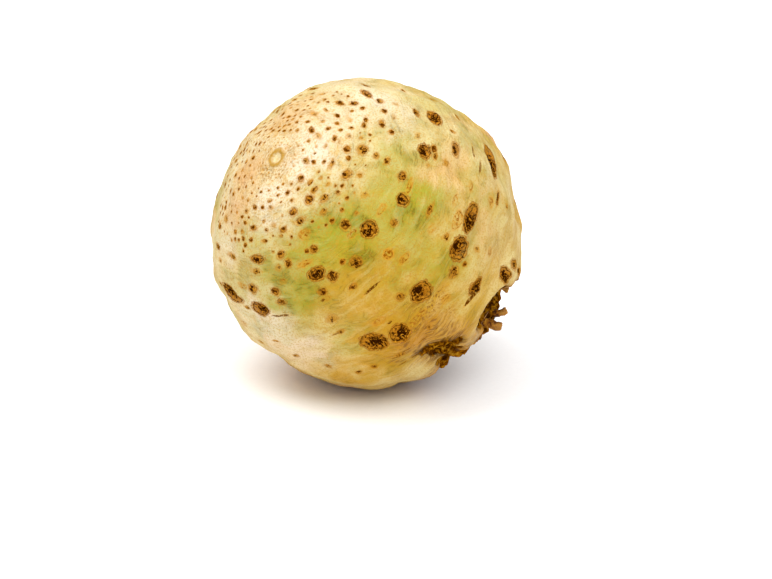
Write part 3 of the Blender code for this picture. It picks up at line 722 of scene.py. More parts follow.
def grain_of(directions):
    """Coordinates in mm that run slowly along the growth rings, in which the skin's streaks are drawn."""
    from_crown = away(directions, CROWN)
    around = (directions @ TURN_ZERO, directions @ TURN_NINETY)
    points = directions * BULB_RADIUS
    wander = GRAIN_WANDER * noise_at(points, GRAIN_WANDER_SIZE, offset=5.0)
    return np.column_stack((GRAIN_SPAN * around[0], GRAIN_SPAN * around[1], from_crown + wander))


def bark_share(directions):
    """How far the skin gives way to brown bark: 0 on the skin, 1 in the root end and its hollows."""
    ragged = BARK_RAGGED * noise_at(directions * BULB_RADIUS, BARK_RAGGED_SIZE, offset=6.0)
    share = smooth_step(inside_rim(directions) + ragged, *BARK_START)
    share = np.maximum(share, smooth_step(hollow_depth(directions), *BARK_HOLLOW))
    return np.maximum(share, patch_share(directions, BARK_PATCHES))


def fine_relief(directions):
    """The skin's wrinkles along the growth rings, and the bark's roughness, in mm."""
    grain = grain_of(directions)
    points = directions * BULB_RADIUS
    from_crown = away(directions, CROWN)
    wrinkled = smooth_step(from_crown, *WRINKLES_START)
    relief = np.zeros(len(directions))
    for size, height in WRINKLES:
        relief += height * noise_at(grain, size, offset=size) * wrinkled
    bark = bark_share(directions)
    for size, height in BARK_ROUGH:
        relief += height * noise_at(points, size, offset=size) * bark
    return relief


def directions_of(points):
    points = np.array(points, float).reshape(-1, 3)
    return points / np.linalg.norm(points, axis=1)[:, None]


def needs_halving(bm, marks):
    """The edges that are still too long for where they lie: in the bark, the crown and the marks."""
    edges = list(bm.edges)
    middles = directions_of([(e.verts[0].co + e.verts[1].co) / 2.0 for e in edges])
    wanted = np.full(len(edges), SKIN_EDGE)
    wanted[inside_rim(middles) > -BARK_MARGIN] = BARK_EDGE
    wanted[away(middles, CROWN) < CROWN_MARGIN] = BARK_EDGE
    for mark in marks:
        if mark.sunk > 0.0:
            near = middles @ mark.place > math.cos((0.5 * mark.length + SCAR_MARGIN) / BULB_RADIUS)
            wanted[near] = np.minimum(wanted[near], SCAR_EDGE if mark.sunk > SPOT_SUNK else SPOT_EDGE)
    return [e for e, limit in zip(edges, wanted) if e.calc_length() * BULB_RADIUS > limit]


def sphere_mesh(bm, marks):
    """A unit sphere of near-equal triangles, halved where the surface needs more of them."""
    bmesh.ops.create_icosphere(bm, subdivisions=FIRST_DIVISIONS, radius=1.0)
    for _ in range(HALVINGS):
        bmesh.ops.subdivide_edges(bm, edges=needs_halving(bm, marks), cuts=1)
        bmesh.ops.triangulate(bm, faces=bm.faces[:])
        for vertex in bm.verts:
            vertex.co.normalize()


def stand_on_base(bm):
    """Cuts the bulb level at the table, which leaves the small flat spot that it rests on."""
    cut = bmesh.ops.bisect_plane(
        bm,
        geom=bm.verts[:] + bm.edges[:] + bm.faces[:],
        dist=1e-6,
        plane_co=(0.0, 0.0, 0.0),
        plane_no=(0.0, 0.0, -1.0),
        clear_outer=True,
    )
    rim = [e for e in cut["geom_cut"] if isinstance(e, bmesh.types.BMEdge)]
    bmesh.ops.triangle_fill(bm, edges=rim, normal=(0.0, 0.0, -1.0), use_beauty=True)
    bmesh.ops.triangulate(bm, faces=bm.faces[:])


def store(mesh, name, domain, values):
    """Keeps three values for each point or corner of the mesh, for its material to read."""
    layer = mesh.attributes.new(name, "FLOAT_VECTOR", domain)
    layer.data.foreach_set("vector", np.ascontiguousarray(values, np.float32).ravel())


def nearest_marks(centres, marks):
    """For each face's centre, the number of the mark whose outline is nearest, or -1 if none is near."""
    finder = kdtree.KDTree(len(centres))
    for i, centre in enumerate(centres):
        finder.insert(centre, i)
    finder.balance()
    nearest = np.full(len(centres), -1)
    gaps = np.full(len(centres), MARK_REACH)
    for number, mark in enumerate(marks):
        size = max(mark.length, mark.width)
        found = finder.find_range(mark.place, (0.5 * size + MARK_REACH) / BULB_RADIUS)
        near = np.array([i for _co, i, _distance in found], int)
        if len(near) == 0:
            continue
        gap = (np.hypot(*mark.within(centres[near])) - 1.0) * 0.5 * mark.size()
        closer = gap < gaps[near]
        nearest[near[closer]] = number
        gaps[near[closer]] = gap[closer]
    return nearest


def store_marks(mesh, directions, marks):
    """Gives each corner its place within the mark that its face belongs to, and that mark's look."""
    corners = np.empty(len(mesh.loops), int)
    mesh.loops.foreach_get("vertex_index", corners)
    centres = directions_of(directions[corners.reshape(-1, 3)].mean(axis=1))
    nearest = np.repeat(nearest_marks(centres, marks), 3)
    draw = random.Random(SEED)
    within = np.full((len(corners), 3), FAR_OUT)
    look = np.full((len(corners), 3), (0.0, 0.0, 1.0))
    for number, mark in enumerate(marks):
        own = np.flatnonzero(nearest == number)
        u, v = mark.within(directions[corners[own]])
        within[own] = np.column_stack((u, v, np.full(len(own), draw.uniform(0.0, 100.0))))
        look[own] = (mark.shows, mark.kind, mark.size())
    store(mesh, "mark", "CORNER", within)
    store(mesh, "mark_look", "CORNER", look)


def patch_share(directions, patches):
    """How strongly a list of soft-edged patches covers each direction, from 0 to 1."""
    bare = np.ones(len(directions))
    for across, up, radius, strength in patches:
        bare *= 1.0 - strength * bell(away(directions, seen(across, up)), radius)
    return 1.0 - bare


def wandering(directions):
    """The directions moved about by noise, so that patches drawn from them get uneven edges."""
    points = directions * BULB_RADIUS
    grain = grain_of(directions)
    every_way = [noise_at(points, PATCH_WANDER_SIZE, offset=7.0 + i) for i in range(3)]
    moved = points + PATCH_WANDER * np.column_stack(every_way)
    streaks = noise_at(grain, STREAK_WANDER_SIZE, offset=3.0)[:, None]
    moved += STREAK_WANDER * streaks * directions_of(np.cross(CROWN, directions))
    return directions_of(moved)


def store_tints(mesh, directions):
    """The skin's broad colours: green and peach patches, pale patches that are partly painted light, brown
    stains, bark and painted shade in the creases, and golden, scuffed and creamy patches. They are listed
    one by one on the seen side, and placed by rule elsewhere."""
    moved = wandering(directions)
    points = moved * BULB_RADIUS
    polar = np.degrees(away(directions, CROWN) / BULB_RADIUS)
    hidden = 1.0 - smooth_step(directions @ TOWARD, *HIDDEN_FROM)

    drifts = noise_at(points, GREEN_DRIFT_SIZE, offset=9.0)
    band = smooth_step(polar, *GREEN_STARTS) * (1.0 - smooth_step(polar, *GREEN_FADES))
    green = patch_share(moved, GREEN_PATCHES)
    green = np.maximum(green, HIDDEN_GREEN * band * hidden * smooth_step(drifts, *GREEN_DRIFTS))
    green = np.maximum(green, FAINT_GREEN * band * smooth_step(drifts, *FAINT_GREEN_DRIFTS))
    # Pale patches, partly painted light on the top and lower left
    pale = patch_share(moved, PALE_AND_LIT_PATCHES)
    peach = smooth_step(noise_at(points, PEACH_DRIFT_SIZE, offset=10.0), *PEACH_DRIFTS)
    peach = np.maximum(patch_share(moved, PEACH_PATCHES), hidden * peach)
    store(mesh, "tints", "POINT", np.column_stack((green, pale, peach)))

    inside = inside_rim(directions)
    stain = np.maximum(patch_share(moved, BROWN_PATCHES), smooth_step(inside, *STAIN_STARTS))
    # Painted shade: the creases between the ridges, the deep hollows and the bark patches are darkened
    crease = smooth_step(-ridge_tops(directions), *CREASE_TOPS) * smooth_step(inside, *RIDGES_START)
    crease = np.maximum(crease, smooth_step(hollow_depth(directions), *SHADED_HOLLOW))
    crease = np.maximum(crease, PATCH_SHADE * patch_share(moved, BARK_PATCHES))
    store(mesh, "soil_and_shade", "POINT", np.column_stack((stain, bark_share(directions), crease)))

    gold = HIDDEN_GOLD * hidden * smooth_step(polar, *GOLD_STARTS)
    gold = np.maximum(patch_share(moved, GOLD_PATCHES), gold)
    scuffed = smooth_step(noise_at(points, SCUFF_DRIFT_SIZE, offset=12.0), *SCUFF_DRIFTS)
    scuffed = np.maximum(patch_share(moved, SCUFFED_PATCHES), HIDDEN_SCUFFS * hidden * scuffed)
    cream = np.maximum(1.0 - smooth_step(polar, *CREAM_FADES), patch_share(moved, CREAM_PATCHES))
    store(mesh, "washes", "POINT", np.column_stack((gold, scuffed, cream)))
    store(mesh, "grain", "POINT", grain_of(directions))


def store_bud(mesh, directions):
    """Each point's place within the growing point's oval, in shares of its half length and width."""
    turn = math.radians(BUD_TURN)
    along = ACROSS * math.cos(turn) + UP * math.sin(turn)
    along = unit(along - CROWN * (along @ CROWN))
    over = np.cross(CROWN, along)
    points = directions * BULB_RADIUS
    u = points @ along / (BUD_LENGTH / 2.0)
    v = points @ over / (BUD_WIDTH / 2.0)
    within = np.column_stack((u, v, np.zeros(len(points))))
    within[directions @ CROWN < BUD_SIDE] = FAR_OUT
    store(mesh, "bud", "POINT", within)


def make_skin(marks):
    """The bulb's surface, with its relief and what its material reads."""
    bm = bmesh.new()
    sphere_mesh(bm, marks)
    directions = directions_of([v.co for v in bm.verts])
    radii = bulb_radius(directions) + mark_relief(directions, marks) + fine_relief(directions)
    for vertex, direction, radius in zip(bm.verts, directions, radii):
        vertex.co = (Vector(direction * radius) + Vector(BULB_CENTRE)) * MM
    stand_on_base(bm)
    bmesh.ops.recalc_face_normals(bm, faces=bm.faces[:])
    mesh = bpy.data.meshes.new("celeriac_skin")
    bm.to_mesh(mesh)
    bm.free()
    at = np.empty(len(mesh.vertices) * 3)
    mesh.vertices.foreach_get("co", at)
    directions = directions_of(at.reshape(-1, 3) / MM - np.array(BULB_CENTRE))
    store_marks(mesh, directions, marks)
    store_tints(mesh, directions)
    store_bud(mesh, directions)
    mesh.shade_smooth()
    return mesh


def grow_tube(bm, spots, widths, sides, cut_end):
    """A tube through the spots: a ring of sides extruded from spot to spot, ending in a cut face."""
    made = bmesh.ops.create_circle(bm, cap_ends=True, radius=1.0, segments=sides)
    ring = made["verts"]
    face = ring[0].link_faces[0]
    placed = Matrix()
    for i, (spot, width) in enumerate(zip(spots, widths)):
        ahead = Vector(spots[min(i + 1, len(spots) - 1)] - spots[max(i - 1, 0)])
        turn = ahead.to_track_quat("Z", "Y").to_matrix().to_4x4()
        moved = Matrix.Translation((Vector(spot) + Vector(BULB_CENTRE)) * MM)
        wanted = moved @ turn @ Matrix.Scale(width * MM, 4)
        if i > 0:
            grown_on = bmesh.ops.extrude_face_region(bm, geom=[face])["geom"]
            bmesh.ops.delete(bm, geom=[face], context="FACES_ONLY")
            ring = [g for g in grown_on if isinstance(g, bmesh.types.BMVert)]
            face = next(g for g in grown_on if isinstance(g, bmesh.types.BMFace))
        bmesh.ops.transform(bm, matrix=wanted @ placed.inverted(), verts=ring)
        placed = wanted
    if cut_end:
        bmesh.ops.inset_individual(bm, faces=[face], thickness=CUT_INSET * widths[-1] * MM)
        bmesh.ops.poke(bm, faces=[face])


def stub_list():
    """From where to where each stub goes, and its radius: the seen ones, then those on the ridges."""
    draw = random.Random(SEED + 1)
    stubs = list(SEEN_STUBS)
    for place, along, _across, length, _width in ridge_list()[:STUB_COUNT]:
        radius = draw.uniform(*STUB_RADIUS)
        reach = draw.uniform(*STUB_LENGTH)
        side = draw.choice((-1.0, 1.0))
        root = unit(place + along * side * STUB_AT * length / BULB_RADIUS)
        start = root * bulb_radius(np.array([root]))[0]
        end = start + unit(root + along * side * STUB_LEAN) * reach
        shows = math.hypot(end @ ACROSS, end @ UP) > STUB_SHOWS_AT
        clear = end[2] + BULB_CENTRE[2] > radius + STUB_FLOOR_GAP
        if clear and not shows and inside_rim(np.array([root]))[0] > STUB_INSIDE_RIM:
            stubs.append((start, end, radius))
    return stubs


def roughen(bm, roughness):
    """Moves each point out or in by noise along its normal: sizes and heights in mm."""
    points = np.array([v.co for v in bm.verts]) / MM
    heights = sum(height * noise_at(points, size, offset=size) for size, height in roughness)
    bm.normal_update()
    for vertex, height in zip(bm.verts, heights):
        vertex.co += vertex.normal * (height * MM)


def link(name, mesh):
    made = bpy.data.objects.new(name, mesh)
    bpy.context.scene.collection.objects.link(made)
    return made


def mesh_of(bm, name, material, smooth_angle):
    """A mesh object made of what the bmesh holds, in place of it."""
    bmesh.ops.recalc_face_normals(bm, faces=bm.faces[:])
    mesh = bpy.data.meshes.new(name)
    bm.to_mesh(mesh)
    bm.free()
    mesh.materials.append(material)
    mesh.shade_smooth()
    if smooth_angle:
        mesh.set_sharp_from_angle(angle=math.radians(smooth_angle))
    return link(name, mesh)


def make_stubs(material):
    """The trimmed roots: blunt, tapered, rough stubs that lean along the ridges."""
    bm = bmesh.new()
    for start, end, radius in stub_list():
        outward = unit(start)
        arch = outward * np.linalg.norm(end - start)
        spots = [start - outward * STUB_SUNK]
        widths = [STUB_ROOT_WIDTH * radius]
        for share, rise, width in STUB_PROFILE:
            spots.append(start + (end - start) * share + arch * rise)
            widths.append(width * radius)
        grow_tube(bm, spots, widths, STUB_SIDES, True)
    bmesh.ops.subdivide_edges(bm, edges=bm.edges[:], cuts=STUB_CUTS, smooth=STUB_SMOOTH, use_grid_fill=True)
    bmesh.ops.triangulate(bm, faces=bm.faces[:])
    roughen(bm, STUB_ROUGH)
    stubs = mesh_of(bm, "trimmed_roots", material, STUB_SHARP_ANGLE)
    at = np.empty(len(stubs.data.vertices) * 3)
    stubs.data.vertices.foreach_get("co", at)
    points = at.reshape(-1, 3) / MM - np.array(BULB_CENTRE)
    stand = np.linalg.norm(points, axis=1) - bulb_radius(directions_of(points))
    store(stubs.data, "stand", "POINT", np.repeat(stand / STUB_PALE_AT, 3))
    return stubs


def rootlet_places(draw):
    """Places in the creases of the root end, from many tried."""
    tried = []
    for _ in range(ROOTLET_TRIES):
        polar = 180.0 - draw.uniform(0.0, ROOTLET_POLAR)
        tried.append(grown(polar, draw.uniform(0.0, 360.0)))
    places = np.array(tried)
    return places[(inside_rim(places) > ROOTLET_INSIDE_RIM) & (ridge_tops(places) < ROOTLET_TOP)]


def rootlet_list():
    """The points along each thin, dry rootlet left in the root end's creases, and its radius."""
    draw = random.Random(SEED + 2)
    places = rootlet_places(draw)
    rootlets = []
    for place, radius in zip(places, bulb_radius(places)):
        along = unit(np.cross(place, unit([draw.gauss(0.0, 1.0) for _ in range(3)])))
        reach = draw.uniform(*ROOTLET_LENGTH)
        lift = draw.uniform(*ROOTLET_LIFT)
        start = place * (radius - ROOTLET_SUNK)
        bend = np.cross(place, along) * draw.uniform(-ROOTLET_BEND, ROOTLET_BEND) * reach
        points = []
        for step in range(ROOTLET_STEPS + 1):
            t = step / ROOTLET_STEPS
            points.append(start + along * reach * t + place * lift * reach * t + bend * t * t)
        lowest = min(p[2] for p in points) + BULB_CENTRE[2]
        widest = max(math.hypot(p @ ACROSS, p @ UP) for p in points)
        if lowest > STUB_FLOOR_GAP and widest < STUB_SHOWS_AT:
            rootlets.append((points, draw.uniform(*ROOTLET_RADIUS)))
    return rootlets


def make_rootlets(material):
    """Thin dry rootlets: tapered hairs that lie in the creases between the trimmed roots."""
    bm = bmesh.new()
    for points, radius in rootlet_list():
        taper = [radius * (1.0 - ROOTLET_TAPER * i / ROOTLET_STEPS) for i in range(len(points))]
        grow_tube(bm, points, taper, ROOTLET_SIDES, False)
    roughen(bm, ROOTLET_ROUGH)
    return mesh_of(bm, "dry_rootlets", material, 0.0)


def linear(code):
    """An sRGB hex value as the linear colour that shaders take."""
    channels = [int(code[i : i + 2], 16) / 255.0 for i in (1, 3, 5)]
    return (*(c / 12.92 if c <= 0.04045 else ((c + 0.055) / 1.055) ** 2.4 for c in channels), 1.0)


def node(tree, kind, inputs, out=0, **settings):
    """Adds a node with its settings, values, colours and links, and gives back one of its outputs. The
    inputs go by name or number: a Map Range's are its value (0), the range that it takes (1, 2) and the
    range that it gives (3, 4), and a colour Mix's are its share (0) and its two colours (6, 7)."""
    made = tree.nodes.new(kind)
    for name, value in settings.items():
        setattr(made, name, value)
    for key, value in inputs.items():
        if isinstance(value, bpy.types.NodeSocket):
            tree.links.new(value, made.inputs[key])
        elif isinstance(value, str):
            made.inputs[key].default_value = linear(value)
        else:
            made.inputs[key].default_value = value
    return made.outputs[out]


def per_metre(size):
    """The scale of a noise whose bumps are this many mm across, on coordinates in metres."""
    return 1.0 / (size * MM)


# The setting of a Map Range that eases in and out
SOFT = {"interpolation_type": "SMOOTHSTEP"}


def new_material(name):
    material = bpy.data.materials.new(name)
    material.use_nodes = True
    return material, material.node_tree, material.node_tree.nodes["Principled BSDF"]


def painted(tree, colour, layers):
    """The colour with each layer laid over it in turn, as far as that layer's share goes."""
    for share, over in layers:
        colour = node(tree, "ShaderNodeMix", {0: share, 6: colour, 7: over}, 2, data_type="RGBA")
    return colour


def ramp(made, stops):
    """Sets a colour ramp's stops: place along it and colour."""
    elements = made.color_ramp.elements
    while len(elements) < len(stops):
        elements.new(0.5)
    for element, (at, code) in zip(elements, stops):
        element.position = at
        element.color = linear(code)


class MarkShares(NamedTuple):
    """How far each part of the marks covers the skin, from 0 to 1: a scar's corky body, its dark core
    and edge, the thin ring and the orange halo round it, a slit, and a healed mark's outline. The last
    two say how faint and how small the mark is, which makes its browns lighter."""

    body: bpy.types.NodeSocket
    dark: bpy.types.NodeSocket
    edge: bpy.types.NodeSocket
    ring: bpy.types.NodeSocket
    halo: bpy.types.NodeSocket
    slit: bpy.types.NodeSocket
    healed: bpy.types.NodeSocket
    weak: bpy.types.NodeSocket
    small: bpy.types.NodeSocket


def mark_outline(tree, within, flat, size, ragged, crumbs):
    """How far outside its mark's outline a point lies: in mm, and again as if the mark were full size.
    Noise of three sizes makes the outline uneven, and less so on a small mark."""
    reach = node(tree, "ShaderNodeVectorMath", {0: flat}, "Value", operation="LENGTH")
    bent = node(tree, "ShaderNodeTexNoise", {"Vector": within, "Scale": BENDS_PER_MARK, "Detail": 1.0})
    bent = node(tree, "ShaderNodeMapRange", {0: bent, 3: -1.25, 4: -0.75})
    beyond = node(tree, "ShaderNodeMath", {0: reach, 1: bent}, operation="ADD")
    half = node(tree, "ShaderNodeMath", {0: size, 1: 0.5}, operation="MULTIPLY")
    outside = node(tree, "ShaderNodeMath", {0: beyond, 1: half}, operation="MULTIPLY")
    growth = node(tree, "ShaderNodeMapRange", {0: size, 1: 0.4, 2: 3.0, 3: 0.25, 4: 1.0})
    for part, swing in ((ragged, 0.5), (crumbs, 0.4)):
        shift = node(tree, "ShaderNodeMapRange", {0: part, 1: 0.25, 2: 0.75, 3: -swing, 4: swing})
        outside = node(tree, "ShaderNodeMath", {0: shift, 1: growth, 2: outside}, operation="MULTIPLY_ADD")
    spread = node(tree, "ShaderNodeMath", {0: outside, 1: growth}, operation="DIVIDE")
    return outside, spread


def kinds_shown(tree, shows, kind):
    """How strongly a mark shows as each kind: corky (1), a slit (2) and healed over (0)."""
    off_cork = node(tree, "ShaderNodeMath", {0: kind, 1: CORKY}, operation="SUBTRACT")
    off_cork = node(tree, "ShaderNodeMath", {0: off_cork}, operation="ABSOLUTE")
    is_cork = node(tree, "ShaderNodeMath", {0: 1.0, 1: off_cork}, operation="SUBTRACT", use_clamp=True)
    is_slit = node(tree, "ShaderNodeMath", {0: kind, 1: CORKY}, operation="SUBTRACT", use_clamp=True)
    is_healed = node(tree, "ShaderNodeMath", {0: CORKY, 1: kind}, operation="SUBTRACT", use_clamp=True)
    shares = (is_cork, is_slit, is_healed)
    return [node(tree, "ShaderNodeMath", {0: shows, 1: share}, operation="MULTIPLY") for share in shares]


def scar_core(tree, within, flat, shows, outside, ragged, crumbs):
    """A scar's dark core, and how far its pith fills it. Both lie off its middle, each scar's to its own
    side. Wavy lines that follow the outline break the core up into crumbs."""
    number = node(tree, "ShaderNodeSeparateXYZ", {0: within}, 2)
    lean_u = node(tree, "ShaderNodeMath", {0: number}, operation="SINE")
    lean_v = node(tree, "ShaderNodeMath", {0: number}, operation="COSINE")
    lean = node(tree, "ShaderNodeCombineXYZ", {0: lean_u, 1: lean_v})
    off = node(tree, "ShaderNodeVectorMath", {0: lean, 1: CORE_LEAN, 2: flat}, operation="MULTIPLY_ADD")
    off = node(tree, "ShaderNodeVectorMath", {0: off}, "Value", operation="LENGTH")
    filled = node(tree, "ShaderNodeMapRange", {0: off, 1: 1.15, 2: 0.45, 3: 0.5, 4: 1.0})
    core = node(tree, "ShaderNodeMapRange", {0: off, 1: 0.2, 2: 1.05, 3: 0.13, 4: -0.09})
    waves = node(tree, "ShaderNodeMath", {0: outside, 1: 7.0}, operation="MULTIPLY")
    waves = node(tree, "ShaderNodeMath", {0: ragged, 1: 22.0, 2: waves}, operation="MULTIPLY_ADD")
    waves = node(tree, "ShaderNodeMath", {0: waves}, operation="SINE")
    waves = node(tree, "ShaderNodeMath", {0: waves, 1: -0.035, 2: core}, operation="MULTIPLY_ADD")
    waves = node(tree, "ShaderNodeMath", {0: waves, 1: crumbs}, operation="SUBTRACT")
    faint = node(tree, "ShaderNodeMapRange", {0: shows, 1: 0.3, 2: 1.0, 3: -0.1, 4: -0.015})
    waves = node(tree, "ShaderNodeMath", {0: waves, 1: faint}, operation="ADD")
    dark = node(tree, "ShaderNodeMapRange", {0: waves, 1: -0.5, 2: -0.42}, **SOFT)
    return dark, filled


def mark_shares(tree, where, crumbs):
    """The parts of the marks, from the place and look that each corner of the skin carries."""
    within = node(tree, "ShaderNodeAttribute", {}, "Vector", attribute_name="mark")
    look = node(tree, "ShaderNodeAttribute", {}, "Vector", attribute_name="mark_look")
    shows, kind, size = node(tree, "ShaderNodeSeparateXYZ", {0: look}).node.outputs
    flat = node(tree, "ShaderNodeVectorMath", {0: within, 1: (1.0, 1.0, 0.0)}, operation="MULTIPLY")
    ragged = node(tree, "ShaderNodeTexNoise", {"Vector": where, "Scale": per_metre(2.4), "Detail": 2.0})
    outside, spread = mark_outline(tree, within, flat, size, ragged, crumbs)
    cork_shows, slit_shows, healed_shows = kinds_shown(tree, shows, kind)
    strong = node(tree, "ShaderNodeMath", {0: cork_shows, 1: shows}, operation="MULTIPLY")

    # The inside and the halo, and lines that follow the outline: a broken dark edge inside it, and a thin
    # ring outside, which is fainter round a small mark
    inside = node(tree, "ShaderNodeMapRange", {0: outside, 1: 0.1, 2: -0.15}, **SOFT)
    halo = node(tree, "ShaderNodeMapRange", {0: spread, 1: 0.95, 2: -0.2}, **SOFT)
    edge = node(tree, "ShaderNodeMath", {0: outside, 1: 0.25}, operation="ADD")
    edge = node(tree, "ShaderNodeMath", {0: edge}, operation="ABSOLUTE")
    edge = node(tree, "ShaderNodeMapRange", {0: edge, 1: 0.36, 2: 0.04}, **SOFT)
    broken = node(tree, "ShaderNodeMapRange", {0: ragged, 1: 0.35, 2: 0.5, 3: 0.45, 4: 1.0})
    edge = node(tree, "ShaderNodeMath", {0: edge, 1: broken}, operation="MULTIPLY")
    ring = node(tree, "ShaderNodeMath", {0: spread, 1: -0.45}, operation="ADD")
    ring = node(tree, "ShaderNodeMath", {0: ring}, operation="ABSOLUTE")
    ring = node(tree, "ShaderNodeMapRange", {0: ring, 1: 0.3, 2: 0.05}, **SOFT)
    large = node(tree, "ShaderNodeMapRange", {0: size, 1: 2.0, 2: 5.0, 3: 0.3, 4: 1.0})
    ring = node(tree, "ShaderNodeMath", {0: ring, 1: large}, operation="MULTIPLY")

    # A healed mark is its outline and crumbs of cork inside it, and a slit is a torn gash
    flakes = node(tree, "ShaderNodeMapRange", {0: crumbs, 1: 0.46, 2: 0.56}, **SOFT)
    flaky = node(tree, "ShaderNodeMath", {0: flakes, 1: inside}, operation="MULTIPLY")
    scabby = node(tree, "ShaderNodeMapRange", {0: ragged, 1: 0.4, 2: 0.56, 3: 0.3, 4: 1.0}, **SOFT)
    crust = node(tree, "ShaderNodeMath", {0: edge, 1: 0.45}, operation="MULTIPLY")
    crust = node(tree, "ShaderNodeMath", {0: flaky, 1: 1.3, 2: crust}, operation="MULTIPLY_ADD")
    crust = node(tree, "ShaderNodeMath", {0: crust, 1: scabby}, operation="MULTIPLY")
    healed = node(tree, "ShaderNodeMath", {0: crust, 1: healed_shows}, operation="MULTIPLY", use_clamp=True)
    gash = node(tree, "ShaderNodeMapRange", {0: crumbs, 1: 0.42, 2: 0.52, 3: 0.5, 4: 1.7})
    gash = node(tree, "ShaderNodeMath", {0: inside, 1: gash}, operation="MULTIPLY")

    # How well the cork covers the skin: a large scar's does so even where it shows weakly
    covers = node(tree, "ShaderNodeMapRange", {0: size, 1: 1.0, 2: 4.5, 3: 1.5, 4: 2.4})
    covers = node(tree, "ShaderNodeMath", {0: covers, 1: cork_shows}, operation="MULTIPLY")
    covers = node(tree, "ShaderNodeMapRange", {0: covers, 1: 0.0, 2: 1.2, 4: 1.0}, **SOFT)
    dark, filled = scar_core(tree, within, flat, shows, outside, ragged, crumbs)
    dark = node(tree, "ShaderNodeMath", {0: dark, 1: inside}, operation="MULTIPLY")
    body = node(tree, "ShaderNodeMath", {0: inside, 1: covers}, operation="MULTIPLY", use_clamp=True)
    return MarkShares(
        body=node(tree, "ShaderNodeMath", {0: body, 1: filled}, operation="MULTIPLY"),
        dark=node(tree, "ShaderNodeMath", {0: dark, 1: covers}, operation="MULTIPLY", use_clamp=True),
        edge=node(tree, "ShaderNodeMath", {0: edge, 1: strong}, operation="MULTIPLY", use_clamp=True),
        ring=node(tree, "ShaderNodeMath", {0: ring, 1: cork_shows}, operation="MULTIPLY", use_clamp=True),
        halo=node(tree, "ShaderNodeMath", {0: halo, 1: shows}, operation="MULTIPLY", use_clamp=True),
        slit=node(tree, "ShaderNodeMath", {0: gash, 1: slit_shows}, operation="MULTIPLY", use_clamp=True),
        healed=healed,
        weak=node(tree, "ShaderNodeMapRange", {0: shows, 1: 0.35, 2: 0.9, 3: 0.9, 4: 0.0}),
        small=node(tree, "ShaderNodeMapRange", {0: size, 1: 1.0, 2: 4.5, 3: 0.9, 4: 0.0}),
    )


def bud_shares(tree, dapple):
    """The growing point's golden ring and its pale middle."""
    bud = node(tree, "ShaderNodeAttribute", {}, "Vector", attribute_name="bud")
    reach = node(tree, "ShaderNodeVectorMath", {0: bud}, "Value", operation="LENGTH")
    wobble = node(tree, "ShaderNodeMapRange", {0: dapple, 3: -0.35, 4: 0.35})
    reach = node(tree, "ShaderNodeMath", {0: reach, 1: wobble}, operation="ADD")
    off_ring = node(tree, "ShaderNodeMath", {0: reach, 1: -0.85}, operation="ADD")
    off_ring = node(tree, "ShaderNodeMath", {0: off_ring}, operation="ABSOLUTE")
    ring = node(tree, "ShaderNodeMapRange", {0: off_ring, 1: 0.42, 2: 0.08, 4: 0.85})
    middle = node(tree, "ShaderNodeMapRange", {0: reach, 1: 0.8, 2: 0.4, 4: 0.5})
    return ring, middle


def bark_layers(tree, where):
    """Rough bark: its colour, and the noise that its colour and relief both come from."""
    rough = node(tree, "ShaderNodeTexNoise", {
        "Vector": where, "Scale": per_metre(2.2), "Detail": 6.0, "Roughness": 0.7, "Distortion": 0.4,
    })
    husk = node(tree, "ShaderNodeValToRGB", {0: rough}, "Color")
    ramp(husk.node, ((0.36, "#381600"), (0.46, "#6e3c00"), (0.54, "#9a6004"), (0.64, "#c08c24")))
    return husk, rough


class SkinTints(NamedTuple):
    """The skin's broad colours, each from 0 to 1, in the order in which store_tints keeps them."""

    green: bpy.types.NodeSocket
    # Pale patches, partly painted light on the top and lower left
    pale: bpy.types.NodeSocket
    peach: bpy.types.NodeSocket
    stain: bpy.types.NodeSocket
    bark: bpy.types.NodeSocket
    # Painted shade in the root end's creases and hollows
    crease: bpy.types.NodeSocket
    gold: bpy.types.NodeSocket
    scuffed: bpy.types.NodeSocket
    cream: bpy.types.NodeSocket


def skin_tints(tree):
    parts = []
    for name in ("tints", "soil_and_shade", "washes"):
        stored = node(tree, "ShaderNodeAttribute", {}, "Vector", attribute_name=name)
        parts += node(tree, "ShaderNodeSeparateXYZ", {0: stored}).node.outputs
    return SkinTints(*parts)


class SkinPatterns(NamedTuple):
    """Noise at the skin's own sizes: broad mottle, small mottle, crumbs and fine grit, and along the
    growth rings broad streaks, fine threads and hairlines. Real grit is finer: this is as fine as shows."""

    mottle: bpy.types.NodeSocket
    dapple: bpy.types.NodeSocket
    crumbs: bpy.types.NodeSocket
    grit: bpy.types.NodeSocket
    streaks: bpy.types.NodeSocket
    threads: bpy.types.NodeSocket
    hair: bpy.types.NodeSocket


